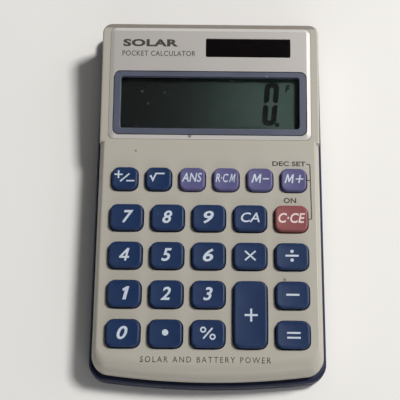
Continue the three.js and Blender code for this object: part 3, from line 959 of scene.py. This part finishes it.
class CALCULATOR_OT_rear_case(bpy.types.Operator):
    """Builds the rear half of the case, the battery hatch and the screws"""

    bl_idname = "calculator.rear_case"
    bl_label = "Rear case"

    def execute(self, context):
        settings = in_mm(context.scene.calculator_case)
        look = bpy.data.materials.get("Beige moulded plastic") or case_look(settings)
        low, high = REAR_LOW.z, REAR_HIGH.z
        outline = body_outline(
            HALF_WIDTH, BODY_BOTTOM, BODY_TOP, BOW, LOW_CORNER, HIGH_CORNER, low
        )
        tray = thicken(outline, high - low)
        soften(tray, at_height(low), 0.9, 5)
        hollow = body_outline(
            HALF_WIDTH - WALL, BODY_BOTTOM + WALL, BODY_TOP - WALL, BOW, LOW_CORNER - WALL,
            HIGH_CORNER - WALL, low + 1.3,
        )
        tray = combine(tray, thicken(hollow, 3))
        hatch_low, hatch_high = box_mm("battery_door")
        hatch_x = (hatch_low.x - HATCH_GAP, hatch_high.x + HATCH_GAP)
        hatch_y = (hatch_low.y - HATCH_GAP, hatch_high.y - LATCH_REACH + HATCH_GAP)
        tray = combine(tray, block(hatch_x, hatch_y, (low - 1, high + 1), 0.6))
        screws = [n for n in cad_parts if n.startswith("case_screw")]
        for node in screws:
            middle = middle_mm(node)
            tray = combine(tray, post(middle, 2.6, low + 0.5, high), "UNION")
            tray = combine(tray, post(middle, 2.2, low - 1, low + 0.8, 36, 2.1))
            tray = combine(tray, post(middle, 1.05, low, high + 1, 20))
        make_piece("rear_case", tray, look, replaces=("rear_shell",))
        self.hatch(look, hatch_low, hatch_high)
        steel = steel_look()
        for node in screws + ["battery_door_screw"]:
            self.screw(node, steel)
        return {"FINISHED"}

    def hatch(self, look, low, high):
        """A flat lid with four grip grooves, a screw well and a latch."""
        end = high.y - LATCH_REACH
        lid = block((low.x, high.x), (low.y, end), (low.z, low.z + 1.05), 0.5)
        soften(lid, at_height(low.z), 0.15, 2)
        screw = middle_mm("battery_door_screw")
        lid = combine(lid, post(screw, 1.9, low.z - 1, low.z + 0.7, 36, 1.8))
        lid = combine(lid, post(screw, 0.85, 0, 20, 20))
        across = (screw.x - 3, screw.x + 3)
        depth = (low.z - 1, low.z + 0.35)
        starts = [end - 3.4 - i * 1.1 for i in range(4)]
        grooves = [block(across, (start, start + 0.6), depth, 0.2) for start in starts]
        lid = combine(lid, joined(grooves))
        latch = block(across, (end - 1, high.y), (high.z - 0.55, high.z), 0.2, 0.1, 2)
        riser = block(across, (end - 1, end), (low.z + 0.9, high.z - 0.2), 0.2)
        lid = combine(combine(lid, riser, "UNION"), latch, "UNION")
        make_piece("battery_hatch", lid, look, replaces=("battery_door",))

    def screw(self, node, look):
        """A cross-headed screw that points up, with its head at the bottom."""
        low, high = box_mm(node)
        middle = (low + high) / 2
        radius = (high.x - low.x) / 2
        shank = radius * 0.42
        head = soften(post(middle, radius, low.z, low.z + 0.6, 36), at_height(low.z), 0.18, 3)
        thread = post(middle, shank, low.z + 0.5, high.z, 18, shank * 0.8)
        head = combine(head, thread, "UNION")
        arm = radius * 0.62
        for x, y in ((arm, 0.2), (0.2, arm)):
            sides = (middle.x - x, middle.x + x), (middle.y - y, middle.y + y)
            head = combine(head, block(*sides, (low.z - 1, low.z + 0.3)))
        make_piece("fitted_" + node, head, look, replaces=(node,))


def steel_look():
    return bpy.data.materials.get("Bright steel") or finish_of(
        "Bright steel", srgb(196, 198, 200), srgb(164, 166, 168), 0.28, patches=160.0,
        fineness=9000.0, relief=0.004, scratches=0.5, scratch_colour=srgb(220, 220, 220),
        specks=0.02, metallic=1.0,
    )


# ---- the display ------------------------------------------------------------------------------


class CALCULATOR_OT_display_panel(bpy.types.Operator):
    """Builds the silver panel and the slate border of the window"""

    bl_idname = "calculator.display_panel"
    bl_label = "Display panel"

    def execute(self, context):
        settings = in_mm(context.scene.calculator_display)
        wide, above = settings.chamfer, PANEL_THICK
        rings = [(0, -1.1), (0, -0.04), (-0.05, 0.03), (-0.12, 0.07)]
        rings += [(-wide + 0.1, above - 0.05), (-wide, above - 0.015), (-wide - 0.12, above)]
        panel = stack(*PANEL, PANEL_CORNER, rings, 10)
        hole = [(0.25, -3), (0.25, above - 0.06), (0.29, above + 0.01), (0.29, 3)]
        panel = combine(panel, stack(*BORDER, BORDER_CORNER, hole, 8))
        hole = [(0.1, -3), (0.1, above - 0.1), (0.17, above + 0.01), (0.17, 3)]
        panel = combine(panel, stack(*SOLAR, 0.3, hole, 4))
        silver = finish_of(
            "Silver painted panel", settings.panel_colour, darker(settings.panel_colour, 0.9),
            0.42, patches=30.0, drift=0.4, fineness=5200.0, relief=0.004, density=320.0,
            specks=0.02, speck_colour=srgb(150, 147, 142), scratches=0.15,
            scratch_colour=srgb(150, 147, 143), rough_spread=0.04, metallic=0.2,
            # painted highlight: the sloping chamfers are painted lighter, as where they catch the
            # light
            slope_highlight_colour=srgb(226, 223, 219), wear=0.4, wear_colour=srgb(220, 218, 214),
        )
        make_piece(
            "silver_panel", placed(panel), silver,
            replaces=("display_bezel",), smooth=12,
        )

        rings = [(0, -1), (0, 0.42), (-0.04, 0.5), (-0.13, 0.55)]
        border = stack(*BORDER, BORDER_CORNER, rings, 8)
        hole = [(0, -3), (0, 0.4), (0.05, 0.5), (0.14, 0.56), (0.14, 3)]
        border = combine(border, stack(*WINDOW, 0.9, hole, 6))
        slate = finish_of(
            "Slate blue lacquer", settings.border_colour, darker(settings.border_colour, 0.8),
            0.38, patches=60.0, fineness=4200.0, relief=0.005, density=500.0, specks=0.04,
            speck_colour=srgb(132, 136, 148), scratches=0.2, scratch_colour=srgb(128, 132, 146),
            wear=0.5, wear_colour=srgb(140, 144, 158),
        )
        make_piece(
            "window_border", placed(border), slate,
            replaces=("window_frame",), smooth=25,
        )
        return {"FINISHED"}


# painted reflection: over this span the cell is painted lighter towards the right
PAINTED_REFLECTION_SPAN = (-0.018, 0.036)  # where the cell turns towards its lit colour, in metres
DIGIT_LEFT, DIGIT_LOW = 16.35, 5.7


class CALCULATOR_OT_display_window(bpy.types.Operator):
    """Builds the clear window, the liquid crystal cell and what it shows"""

    bl_idname = "calculator.display_window"
    bl_label = "Display window"

    def execute(self, context):
        settings = in_mm(context.scene.calculator_display)
        clear = stack(*LENS, 0.4, [(-0.06, -1.9), (0, -1.84), (0, -1.36), (-0.06, -1.3)], 4)
        make_piece(
            "clear_window", placed(clear), clear_plastic("Clear acrylic"),
            replaces=("window_lens",),
        )
        rings = [(-0.05, -3.25), (0, -3.2), (0, CELL_TOP - 0.05), (-0.05, CELL_TOP)]
        cell = stack(*CELL, 0.3, rings, 4)
        look = finish_of(
            "Liquid crystal cell", settings.glass_colour, darker(settings.glass_colour, 0.7),
            0.3, patches=24.0, drift=0.8, fineness=6000.0, relief=0.003, density=560.0,
            specks=0.12, speck_colour=srgb(88, 98, 96), scratches=0.35,
            scratch_colour=srgb(70, 80, 78), rough_spread=0.05, specular=0.25,
            # painted reflection: lighter towards the right, where the cell reflects the light
            across=("X", *PAINTED_REFLECTION_SPAN, settings.lit_colour),
        )
        make_piece("display_cell", placed(cell), look, replaces=("lcd_cell",))
        self.figures(settings)
        return {"FINISHED"}

    def figures(self, settings):
        """A zero with its point, and the small floating point sign."""
        tall, wide, thick = settings.digit_height, settings.digit_width, settings.segment
        lean = math.tan(settings.slant)
        gap, half = 0.12, tall / 2

        def slanted(points):
            return [(DIGIT_LEFT + x + y * lean, DIGIT_LOW + y) for x, y in points]

        bend, tip = thick * 1.1, half - gap
        lower = [(thick * 0.45, tip), (0, tip - 0.5)]
        lower += [(bend * (1 - math.cos(t)), bend * (1 - math.sin(t))) for t in quarter_turn(6)]
        inner = [(thick, thick), (thick, tip - thick * 0.55)]
        lower += [(wide - x, y) for x, y in reversed(lower)]
        lower += [(wide - x, y) for x, y in reversed(inner)] + inner
        shapes = [lower, [(x, tall - y) for x, y in lower]]
        solids = [drawn_shape(slanted(points)) for points in shapes]
        solids.append(drawn_dot(21.35, 5.95, 0.74))
        solids.append(lay_on(lettering("F", 1.5, 2.35, 0.12, 0.05), (24.7, 18.0), 0))
        on = joined(solids)
        for v in on.verts:
            v.co.z = CELL_TOP + (0.025 if v.co.z > 0 else -0.01)
        bmesh.ops.recalc_face_normals(on, faces=on.faces[:])
        look = finish_of(
            "Liquid crystal figures", settings.segment_colour,
            darker(settings.segment_colour, 0.6), 0.35, patches=300.0, relief=0.002,
            specks=0.03, speck_colour=srgb(50, 56, 56), scratches=0.2,
            scratch_colour=srgb(24, 28, 30), specular=0.08,
        )
        make_piece("display_figures", placed(on), look, smooth=20)


class CALCULATOR_OT_solar_panel(bpy.types.Operator):
    """Builds the solar cell, four strips behind one glass"""

    bl_idname = "calculator.solar_panel"
    bl_label = "Solar panel"

    def execute(self, context):
        settings = in_mm(context.scene.calculator_display)
        (left, right), along = SOLAR
        plate = stack(*SOLAR, 0.25, [(0, -0.95), (0, 0.29), (-0.05, 0.35)], 3)
        pitch = (right - left) / 4
        grooves = [
            block(
                (left + i * pitch - 0.06, left + i * pitch + 0.06),
                (along[0] + 0.3, along[1] - 0.3), (0.32, 1),
            )
            for i in (1, 2, 3)
        ]
        plate = combine(plate, joined(grooves))
        look = finish_of(
            "Solar cell glass", settings.solar_colour, darker(settings.solar_colour, 0.5), 0.16,
            patches=70.0, fineness=2500.0, relief=0.002, density=600.0, specks=0.04,
            speck_colour=srgb(88, 80, 78), scratches=0.15, scratch_colour=srgb(60, 52, 52),
            rough_spread=0.04, coat=0.3, coat_roughness=0.05,
        )
        make_piece("solar_strips", placed(plate), look, replaces=("solar_cell",))
        return {"FINISHED"}


# ---- keys -------------------------------------------------------------------------------------

PURPLE_KEYS = ("key_answer", "key_recall_memory", "key_memory_minus", "key_memory_plus")


def key_colour(node):
    if node in PURPLE_KEYS:
        return "purple"
    return "red" if node == "key_clear_entry" else "navy"


def key_surface(settings, node):
    """The height of a key's hollow top at a point, and the middle of the key."""
    x, y, top = key_rectangle(node)
    inset = settings.draft + settings.shoulder
    half = [(x[1] - x[0]) / 2 - inset, (y[1] - y[0]) / 2 - inset]
    middle = [(x[0] + x[1]) / 2, (y[0] + y[1]) / 2]

    def height(px, py):
        u = min(abs(px - middle[0]) / half[0], 1)
        w = min(abs(py - middle[1]) / half[1], 1)
        return top - settings.dish * (1 - u**2) * (1 - w**6)

    return height, middle


class CALCULATOR_OT_keys(bpy.types.Operator):
    """Builds the 25 keys, each with a soft shoulder and a hollow top"""

    bl_idname = "calculator.keys"
    bl_label = "Keys"

    def execute(self, context):
        settings = in_mm(context.scene.calculator_keys)
        looks = {}
        for name, colour, light in (
            ("navy", settings.navy, srgb(70, 92, 128)),
            ("purple", settings.purple, srgb(150, 148, 184)),
            ("red", settings.red, srgb(184, 130, 130)),
        ):
            looks[name] = finish_of(
                f"{name.capitalize()} key plastic", colour, darker(colour, 0.82), 0.4,
                patches=110.0, drift=0.5, fineness=4200.0, relief=0.006, density=900.0,
                specks=0.02, speck_colour=light, scratches=0.12, scratch_colour=light,
                rough_spread=0.06, wear=0.25, wear_colour=light, specular=0.3,
            )
        for node in KEY_NODES:
            self.cap(node, settings, looks[key_colour(node)])
        return {"FINISHED"}

    def cap(self, node, settings, look):
        x, y, top = key_rectangle(node)
        low, _ = box_mm(node)
        height, middle = key_surface(settings, node)
        middle = Vector(middle)
        flange_top = FACE - FACE_THICK - 0.25
        turned = settings.shoulder
        rings = [(FLANGE, low.z), (FLANGE, flange_top), (0, flange_top + 0.01)]
        rings.append((-settings.draft * 0.4, FACE))
        for turn in quarter_turn(5):
            out = -settings.draft - turned * (1 - math.cos(turn))
            rings.append((out, top - turned + turned * math.sin(turn)))
        cap = stack(x, y, settings.corner, rings, 8, settings.bulge)
        roof = max(cap.faces, key=lambda f: f.calc_center_median().z)
        before = 1.0
        for share in (0.97, 0.92, 0.85, 0.75, 0.62, 0.48, 0.34, 0.2, 0.08):  # towards the middle
            roof = raised(cap, roof)
            for v in roof.verts:
                v.co.xy = middle + (v.co.xy - middle) * share / before
                v.co.z = height(*v.co.xy)
            before = share
        bmesh.ops.recalc_face_normals(cap, faces=cap.faces[:])
        make_piece(
            "cap_" + node[4:], cap, look, body=node,
            replaces=(node,), smooth=50,
        )


def bars(*lines, width=0.6):
    return [drawn_line(points, width) for points in lines]


def merged(solids):
    """Overlapping strokes as one solid."""
    whole = solids[0]
    for solid in solids[1:]:
        whole = combine(whole, solid, "UNION")
    return whole


DIGIT_LEAN, WORD_LEAN = 0.24, 0.2


def digit_legend(digit):
    width = 3.2 if digit in (0, 6, 9) else None
    return lambda: lettering(str(digit), width, 4.05, DIGIT_LEAN, 0.02)


def word_legend(text, width, height, weight=0.012):
    return lambda: lettering(text, width, height, WORD_LEAN, weight)


def leaning(points):
    """Points of a digit that stands on 0, leaning and centred like the other digits."""
    return [(x + DIGIT_LEAN * (y - 2), y - 2) for x, y in points]


def one_legend():
    points = [(0.1, 0), (1.1, 0), (1.1, 4.05), (0.35, 4.05)]
    points += [(-0.75, 3.25), (-0.4, 2.55), (0.1, 2.9)]
    return drawn_shape(leaning(points))


def four_legend():
    strokes = ([(2.25, 3.7), (0.62, 1.2)], [(0.3, 1.15), (3.3, 1.15)], [(2.35, 3.95), (2.35, 0)])
    middle = [leaning([(x - 1.75, y) for x, y in stroke]) for stroke in strokes]
    return merged(bars(*middle, width=0.62))


def letter_m(middle, width, height):
    """A leaning capital M with thin strokes, drawn as one outline."""
    outline = [(0, 0), (0.16, 0), (0.23, 0.68), (0.45, 0.12), (0.55, 0.12), (0.77, 0.68), (0.84, 0)]
    outline += [(1, 0), (0.9, 1), (0.74, 1), (0.5, 0.42), (0.26, 1), (0.1, 1)]
    wide = width - WORD_LEAN * height
    centred = [((x - 0.5) * wide, (y - 0.5) * height) for x, y in outline]
    return drawn_shape([(middle + x + WORD_LEAN * y, y) for x, y in centred])


def recall_legend():
    letters = lettering("R·C", 3.95, 2.8, WORD_LEAN, 0.008)
    bmesh.ops.translate(letters, verts=letters.verts[:], vec=(-1.15, 0, 0))
    return joined([letters, letter_m(2.1, 2.15, 2.75)])


def memory_minus_legend():
    return joined([letter_m(-0.98, 3.4, 2.9), *bars([(0.85, -0.1), (2.8, -0.1)], width=0.42)])


def memory_plus_legend():
    plus = merged(bars([(0.6, -0.05), (2.95, -0.05)], [(2.0, 1.3), (1.55, -1.4)], width=0.42))
    return joined([letter_m(-1.3, 3.2, 2.9), plus])


def sign_legend():
    plus = merged(bars([(-3.2, 1.03), (-0.68, 1.03)], [(-1.94, 2.3), (-1.94, -0.24)], width=0.46))
    slash, minus = bars([(-1.4, -1.25), (1.4, 1.3)], [(0.5, -1.03), (3.05, -1.03)], width=0.46)
    return joined([plus, slash, minus])


def root_legend():
    return drawn_line([(-2.4, 0.35), (-2.1, 0.62), (-1.5, -0.75), (-0.55, 1.45), (2.1, 1.45)], 0.46)


def percent_legend():
    slash = bars([(-1.35, -1.6), (1.35, 1.6)], width=0.5)[0]
    return joined([slash, drawn_dot(-1.4, 1.05, 0.92, 0.46), drawn_dot(1.4, -1.05, 0.92, 0.46)])


def divide_legend():
    return joined(
        bars([(-2.0, 0), (2.0, 0)]) + [drawn_dot(0, 1.36, 0.52), drawn_dot(0, -1.36, 0.52)]
    )


def multiply_legend():
    return merged(bars([(-1.6, -1.45), (1.6, 1.45)], [(-1.6, 1.45), (1.6, -1.45)], width=0.5))


def add_legend():
    return merged(bars([(-1.95, 0), (1.95, 0)], [(0, -1.95), (0, 1.95)]))


def equals_legend():
    return joined(bars([(-2, 0.72), (2, 0.72)], [(-2, -0.72), (2, -0.72)], width=0.54))


def digit_place(digit):
    return (0.45 if digit == 7 else -0.1, 0.05)


LEGENDS = {
    **{f"key_{digit}": (digit_legend(digit), digit_place(digit)) for digit in range(10)},
    "key_1": (one_legend, (0, 0.05)),
    "key_4": (four_legend, (-0.1, 0.05)),
    "key_sign": (sign_legend, (0, 0.1)),
    "key_square_root": (root_legend, (-0.25, 0.1)),
    "key_answer": (word_legend("ANS", 6.2, 3.0), (-0.15, 0.4)),
    "key_recall_memory": (recall_legend, (-0.1, 0.3)),
    "key_memory_minus": (memory_minus_legend, (0, 0.25)),
    "key_memory_plus": (memory_plus_legend, (0, 0.25)),
    "key_clear_all": (word_legend("CA", 5.75, 3.15), (0.05, 0.12)),
    "key_clear_entry": (word_legend("C·CE", 8.2, 3.2, 0.02), (0.1, 0.05)),
    "key_multiply": (multiply_legend, (0, 0)),
    "key_divide": (divide_legend, (0, 0.1)),
    "key_subtract": (lambda: bars([(-1.95, 0), (1.95, 0)])[0], (0.05, 0)),
    "key_add": (add_legend, (0.2, -0.3)),
    "key_equals": (equals_legend, (0.15, -0.25)),
    "key_percent": (percent_legend, (0, 0.1)),
    "key_point": (lambda: drawn_dot(0, 0, 0.95), (0, 0.2)),
}


class CALCULATOR_OT_key_legends(bpy.types.Operator):
    """Prints a legend on every key"""

    bl_idname = "calculator.key_legends"
    bl_label = "Key legends"

    def execute(self, context):
        settings = in_mm(context.scene.calculator_keys)
        inks = [
            finish_of(
                name, colour, darker(colour, 0.88), 0.5, patches=500.0, fineness=5000.0,
                relief=0.004, density=2600.0, specks=0.03, speck_colour=darker(colour, 0.6),
                scratches=0.25, scratch_colour=darker(colour, 0.7),
            )
            for name, colour in (
                ("Pale legend ink", settings.legend_colour),
                ("Warm legend ink", settings.warm_legend_colour),
            )
        ]
        for node in KEY_NODES:
            draw, shift = LEGENDS[node]
            height, middle = key_surface(settings, node)
            place = (middle[0] + shift[0], middle[1] + shift[1])
            legend = lay_on(draw(), place, height)
            ink = inks[key_colour(node) == "red"]
            make_piece("legend_" + node[4:], legend, ink, body=node, smooth=20)
        return {"FINISHED"}


class CALCULATOR_OT_case_printing(bpy.types.Operator):
    """Prints the generic lettering on the panel and on the case"""

    bl_idname = "calculator.case_printing"
    bl_label = "Case printing"

    def execute(self, context):
        settings = in_mm(context.scene.calculator_case)
        ink = finish_of(
            "Dark printing ink", settings.print_colour, darker(settings.print_colour, 1.3),
            0.55, patches=400.0, fineness=5000.0, relief=0.003, density=2600.0, specks=0.05,
            speck_colour=srgb(120, 114, 106), scratches=0.2, scratch_colour=srgb(120, 114, 106),
        )

        sunk = 0.01  # how deep the ink lies in its surface
        bracket = [(30.2, 9.35), (30.8, 9.35), (31.15, 9.2), (31.32, 8.85)]
        bracket += [(31.5, -8.1), (31.42, -8.5), (31.1, -8.65), (30.6, -8.65)]
        prints = (
            (lettering("DEC SET", 10.4, 1.6, 0, 0.03, 1.02), (24.8, 9.45)),
            (lettering("ON", 3.9, 1.75, 0, 0.03, 1.02), (24.9, -2.65)),
            (lettering("SOLAR AND BATTERY POWER", 38.5, 1.75, 0, 0.004, 1.35), (-0.6, -52.3)),
            (drawn_line(bracket, 0.34), (0, 0)),
            (drawn_line([(30.35, 4.0), (31.25, 4.0)], 0.34), (0, 0)),
        )
        case_print = joined([lay_on(solid, place, FACE - sunk) for solid, place in prints])
        make_piece("case_print", case_print, ink, smooth=20)

        prints = (
            (lettering("SOLAR", 17.6, 2.5, 0, 0.045, 1.05), (-19.1, 32.2)),
            (lettering("POCKET CALCULATOR", 23.3, 1.75, 0, 0.006, 1.1), (-16.4, 28.65)),
        )
        panel_print = joined([lay_on(solid, place, PANEL_THICK - sunk) for solid, place in prints])
        make_piece("panel_print", placed(panel_print), ink, smooth=20)
        return {"FINISHED"}


# ---- cover and hinge --------------------------------------------------------------------------


class CALCULATOR_OT_folding_cover(bpy.types.Operator):
    """Builds the hard cover that folds behind the body"""

    bl_idname = "calculator.folding_cover"
    bl_label = "Folding cover"

    def execute(self, context):
        settings = in_mm(context.scene.calculator_cover)
        half, low, high, deep = COVER_HIGH.x, COVER_LOW.y, COVER_HIGH.y, COVER_HIGH.z
        wall, plate = settings.wall, settings.plate
        cover = thicken(body_outline(half, low, high, BOW, 5, 3.6, 0), deep)
        soften(cover, at_height(deep), settings.edge_round, 7)
        soften(cover, at_height(0), 0.2, 2)
        hollow = body_outline(half - wall, low + wall, high - wall, BOW, 4, 2.6, -1)
        thicken(hollow, 1 + deep - plate)
        cover = combine(cover, soften(hollow, at_height(deep - plate), 0.5, 3))
        start, end = PIN_COVER.y - LINK_RADIUS, PIN_COVER.y + LINK_RADIUS
        for side in (-1, 1):
            span = sorted(side * reach for reach in EAR_SPAN)
            ear = block(span, (start, end - 0.02), (0.7, deep - plate + 0.1))
            cover = combine(cover, ear, "UNION")
        near, far = EAR_SPAN
        slot = block((-near, near), (start - 0.3, end + 1), (-1, deep + 1), 0.4)
        cover = combine(cover, slot)
        cover = combine(cover, bar_along(PIN_COVER, PIN_BORE, -far - 1, far + 1, 20))
        look = finish_of(
            "Dark blue hard cover", settings.colour, darker(settings.colour, 0.8), 0.44,
            patches=60.0, fineness=1500.0, coarse=0.45, relief=0.03, density=500.0, specks=0.03,
            speck_colour=srgb(84, 90, 112), scratches=0.3, scratch_colour=srgb(76, 84, 108),
            wear=0.6, wear_colour=srgb(78, 86, 112), specular=0.3,
        )
        make_piece(
            "hard_cover", cover, look, body="cover",
            replaces=("folding_cover",), smooth=32,
        )
        return {"FINISHED"}


class CALCULATOR_OT_hinge(bpy.types.Operator):
    """Builds the link between body and cover"""

    bl_idname = "calculator.hinge"
    bl_label = "Hinge link"

    def execute(self, context):
        settings = in_mm(context.scene.calculator_cover)
        span = (LINK_LOW.x, LINK_HIGH.x)
        rise = PIN_BODY - PIN_COVER
        half = 1.1  # half the thickness of the web between the barrels
        link = block(span, (-half, half), (0, rise.length))
        lean = Matrix.Rotation(math.atan2(-rise.y, rise.z), 4, "X")
        link.transform(Matrix.Translation((0, PIN_COVER.y, PIN_COVER.z)) @ lean)
        for pin in (PIN_BODY, PIN_COVER):
            barrel = bar_along(pin, LINK_RADIUS, *span, 36)
            for end in span:
                soften(barrel, lambda co, end=end: abs(co.x - end) < 1e-3, 0.15, 2)
            link = combine(link, barrel, "UNION")
        for pin in (PIN_BODY, PIN_COVER):
            link = combine(link, bar_along(pin, PIN_BORE, span[0] - 1, span[1] + 1, 20))
        look = finish_of(
            "Dark blue hinge plastic", settings.link_colour, darker(settings.link_colour, 0.8),
            0.4, patches=80.0, fineness=2200.0, relief=0.015, scratches=0.3,
            scratch_colour=srgb(70, 78, 100), wear=0.5, wear_colour=srgb(74, 82, 106),
        )
        make_piece(
            "link_bar", link, look, body="cover_link",
            replaces=("hinge_link",),
        )
        return {"FINISHED"}


# ---- inside -----------------------------------------------------------------------------------


class CALCULATOR_OT_inner_parts(bpy.types.Operator):
    """Finishes the CAD parts that stay: board, rubber mat, chip, cell, contacts, leads and pins"""

    bl_idname = "calculator.inner_parts"
    bl_label = "Inner parts"

    def execute(self, context):
        board = finish_of(
            "Green circuit board", srgb(38, 96, 62), srgb(28, 74, 50), 0.35, patches=220.0,
            fineness=1800.0, relief=0.02, specks=0.12, speck_colour=srgb(196, 170, 96), coat=0.4,
        )
        rubber = finish_of(
            "Grey key rubber", srgb(138, 140, 142), srgb(112, 114, 118), 0.75, fineness=1600.0,
            relief=0.03, specks=0.1, speck_colour=srgb(92, 92, 92), scratches=0.0, specular=0.3,
        )
        resin = finish_of(
            "Black resin", srgb(22, 22, 23), srgb(14, 14, 14), 0.25, patches=240.0, fineness=900.0,
            relief=0.04, specks=0.05, speck_colour=srgb(70, 70, 70), coat=0.5,
        )
        foil = finish_of(
            "Silvered reflector", srgb(190, 196, 190), srgb(168, 174, 168), 0.3, fineness=7000.0,
            relief=0.004, metallic=0.7,
        )
        sleeve = finish_of(
            "Blue shrink sleeve", srgb(30, 40, 74), srgb(22, 30, 58), 0.3, patches=200.0, coat=0.3,
            scratches=0.3, scratch_colour=srgb(110, 120, 150),
        )
        red = finish_of(
            "Red lead insulation", srgb(160, 34, 32), srgb(128, 26, 26), 0.45, patches=300.0,
            fineness=3000.0, relief=0.01,
        )
        black = finish_of(
            "Black lead insulation", srgb(24, 24, 24), srgb(34, 34, 34), 0.45, patches=300.0,
            fineness=3000.0, relief=0.01,
        )
        steel = steel_look()
        looks = {
            "main_board": board,
            "key_mat": rubber,
            "zebra_connector": rubber,
            "chip_blob": resin,
            "lcd_reflector": foil,
            "smoothing_capacitor": sleeve,
            "solar_lead_positive": red,
            "solar_lead_negative": black,
            "button_cell": steel,
            "cell_contact_negative": steel,
            "cell_contact_positive": steel,
            "body_hinge_pin": steel,
            "cover_hinge_pin": steel,
        }
        for node, look in looks.items():
            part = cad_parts[node]
            if not part.material_slots:
                raise RuntimeError(f"{node} has no material slot")
            for slot in part.material_slots:
                slot.material = look
        return {"FINISHED"}


# ---- stage ------------------------------------------------------------------------------------


def soft_light(name, place, size, power, colour):
    """A square light that faces the calculator."""
    lamp = bpy.data.lights.new(name, "AREA")
    lamp.shape = "RECTANGLE"
    lamp.size, lamp.size_y = size
    lamp.energy = power
    lamp.color = colour
    light = bpy.data.objects.new(name, lamp)
    bpy.context.scene.collection.objects.link(light)
    light.location = place
    light.rotation_euler = (-Vector(place)).to_track_quat("-Z", "Y").to_euler()


class CALCULATOR_OT_stage(bpy.types.Operator):
    """Makes the floor, the lights and the camera"""

    bl_idname = "calculator.stage"
    bl_label = "Stage"

    def execute(self, context):
        settings = in_mm(context.scene.calculator_stage)
        scene = context.scene
        scene.view_settings.view_transform = "Standard"

        reach = 1500
        floor = flat_rectangle((-reach, reach), (-reach, reach), 0)
        bmesh.ops.scale(floor, vec=(MM, MM, MM), verts=floor.verts[:])
        mesh = bpy.data.meshes.new("floor")
        floor.to_mesh(mesh)
        floor.free()
        mesh.materials.append(
            finish_of(
                "Pale floor", settings.floor_colour, darker(settings.floor_colour, 0.985), 0.8,
                patches=4.0, fineness=300.0, relief=0.02, specks=0.0, scratches=0.0, specular=0.2,
            )
        )
        ground = bpy.data.objects.new("floor", mesh)
        scene.collection.objects.link(ground)

        world = bpy.data.worlds.new("Surround")
        world.use_nodes = True
        tree = world.node_tree
        back = tree.nodes["Background"]
        back.inputs["Color"].default_value = (0.96, 0.97, 1.0, 1)
        way = tree.nodes.new("ShaderNodeTexCoord").outputs["Generated"]
        towards = add_node(
            tree, "ShaderNodeVectorMath", {0: way, 1: (0.3, 0.12, -1.0)}, operation="DOT_PRODUCT"
        )
        glow = add_node(
            tree,
            "ShaderNodeMapRange",
            {
                "Value": towards.outputs["Value"],
                "From Min": -0.85,
                "From Max": 0.25,
                "To Min": 0.03,
                "To Max": settings.surround,
            },
        )
        tree.links.new(glow.outputs["Result"], back.inputs["Strength"])
        scene.world = world

        warm, neutral = (1, 0.98, 0.95), (1, 0.99, 0.97)
        for name, place, size, power, colour in (
            ("Window light", (0.64, 0.36, 1.0), (0.24, 0.24), settings.window_power, warm),
            ("Side light", (1.0, 0.35, 0.65), (0.9, 0.5), settings.side_power, neutral),
            ("Front light", (0.25, -1.2, 0.5), (1.2, 0.4), settings.front_power, neutral),
        ):
            soft_light(name, place, size, power, colour)

        lens = bpy.data.cameras.new("Camera")
        lens.lens = settings.lens
        lens.sensor_width = 36
        lens.clip_start, lens.clip_end = 0.01, 20
        camera = bpy.data.objects.new("Camera", lens)
        scene.collection.objects.link(camera)
        turn = Matrix()  # the camera looks down and a little along the keys
        for degrees, axis in ((18.74, "X"), (0.25, "Y"), (0.59, "Z")):
            turn = turn @ Matrix.Rotation(math.radians(degrees), 4, axis)
        camera.matrix_world = Matrix.Translation((-0.0013, -0.1117, 0.334)) @ turn
        scene.camera = camera
        return {"FINISHED"}


# ---- panel and registration -------------------------------------------------------------------

OPERATORS = (
    CALCULATOR_OT_front_case,
    CALCULATOR_OT_rear_case,
    CALCULATOR_OT_display_panel,
    CALCULATOR_OT_display_window,
    CALCULATOR_OT_solar_panel,
    CALCULATOR_OT_keys,
    CALCULATOR_OT_key_legends,
    CALCULATOR_OT_case_printing,
    CALCULATOR_OT_folding_cover,
    CALCULATOR_OT_hinge,
    CALCULATOR_OT_inner_parts,
    CALCULATOR_OT_stage,
)
SETTINGS = {
    "calculator_case": CaseSettings,
    "calculator_display": DisplaySettings,
    "calculator_keys": KeySettings,
    "calculator_cover": CoverSettings,
    "calculator_stage": StageSettings,
}


class CALCULATOR_PT_sidebar(bpy.types.Panel):
    """Lists the calculator's pieces and settings"""

    bl_label = "Pocket calculator"
    bl_idname = "CALCULATOR_PT_sidebar"
    bl_space_type = "VIEW_3D"
    bl_region_type = "UI"
    bl_category = "Calculator"

    def draw(self, context):
        for name, group in SETTINGS.items():
            box = self.layout.box()
            for field in group.__annotations__:
                box.prop(getattr(context.scene, name), field)
        for operator in OPERATORS:
            self.layout.operator(operator.bl_idname)


def register():
    for group in SETTINGS.values():
        bpy.utils.register_class(group)
    for operator in OPERATORS:
        bpy.utils.register_class(operator)
    bpy.utils.register_class(CALCULATOR_PT_sidebar)
    for name, group in SETTINGS.items():
        setattr(bpy.types.Scene, name, PointerProperty(type=group))


def unregister():
    for name in SETTINGS:
        delattr(bpy.types.Scene, name)
    bpy.utils.unregister_class(CALCULATOR_PT_sidebar)
    for operator in reversed(OPERATORS):
        bpy.utils.unregister_class(operator)
    for group in SETTINGS.values():
        bpy.utils.unregister_class(group)


def main():
    register()
    for operator in OPERATORS:
        name = operator.bl_idname.split(".")[1]
        getattr(bpy.ops.calculator, name)()


if __name__ == "__main__":
    main()
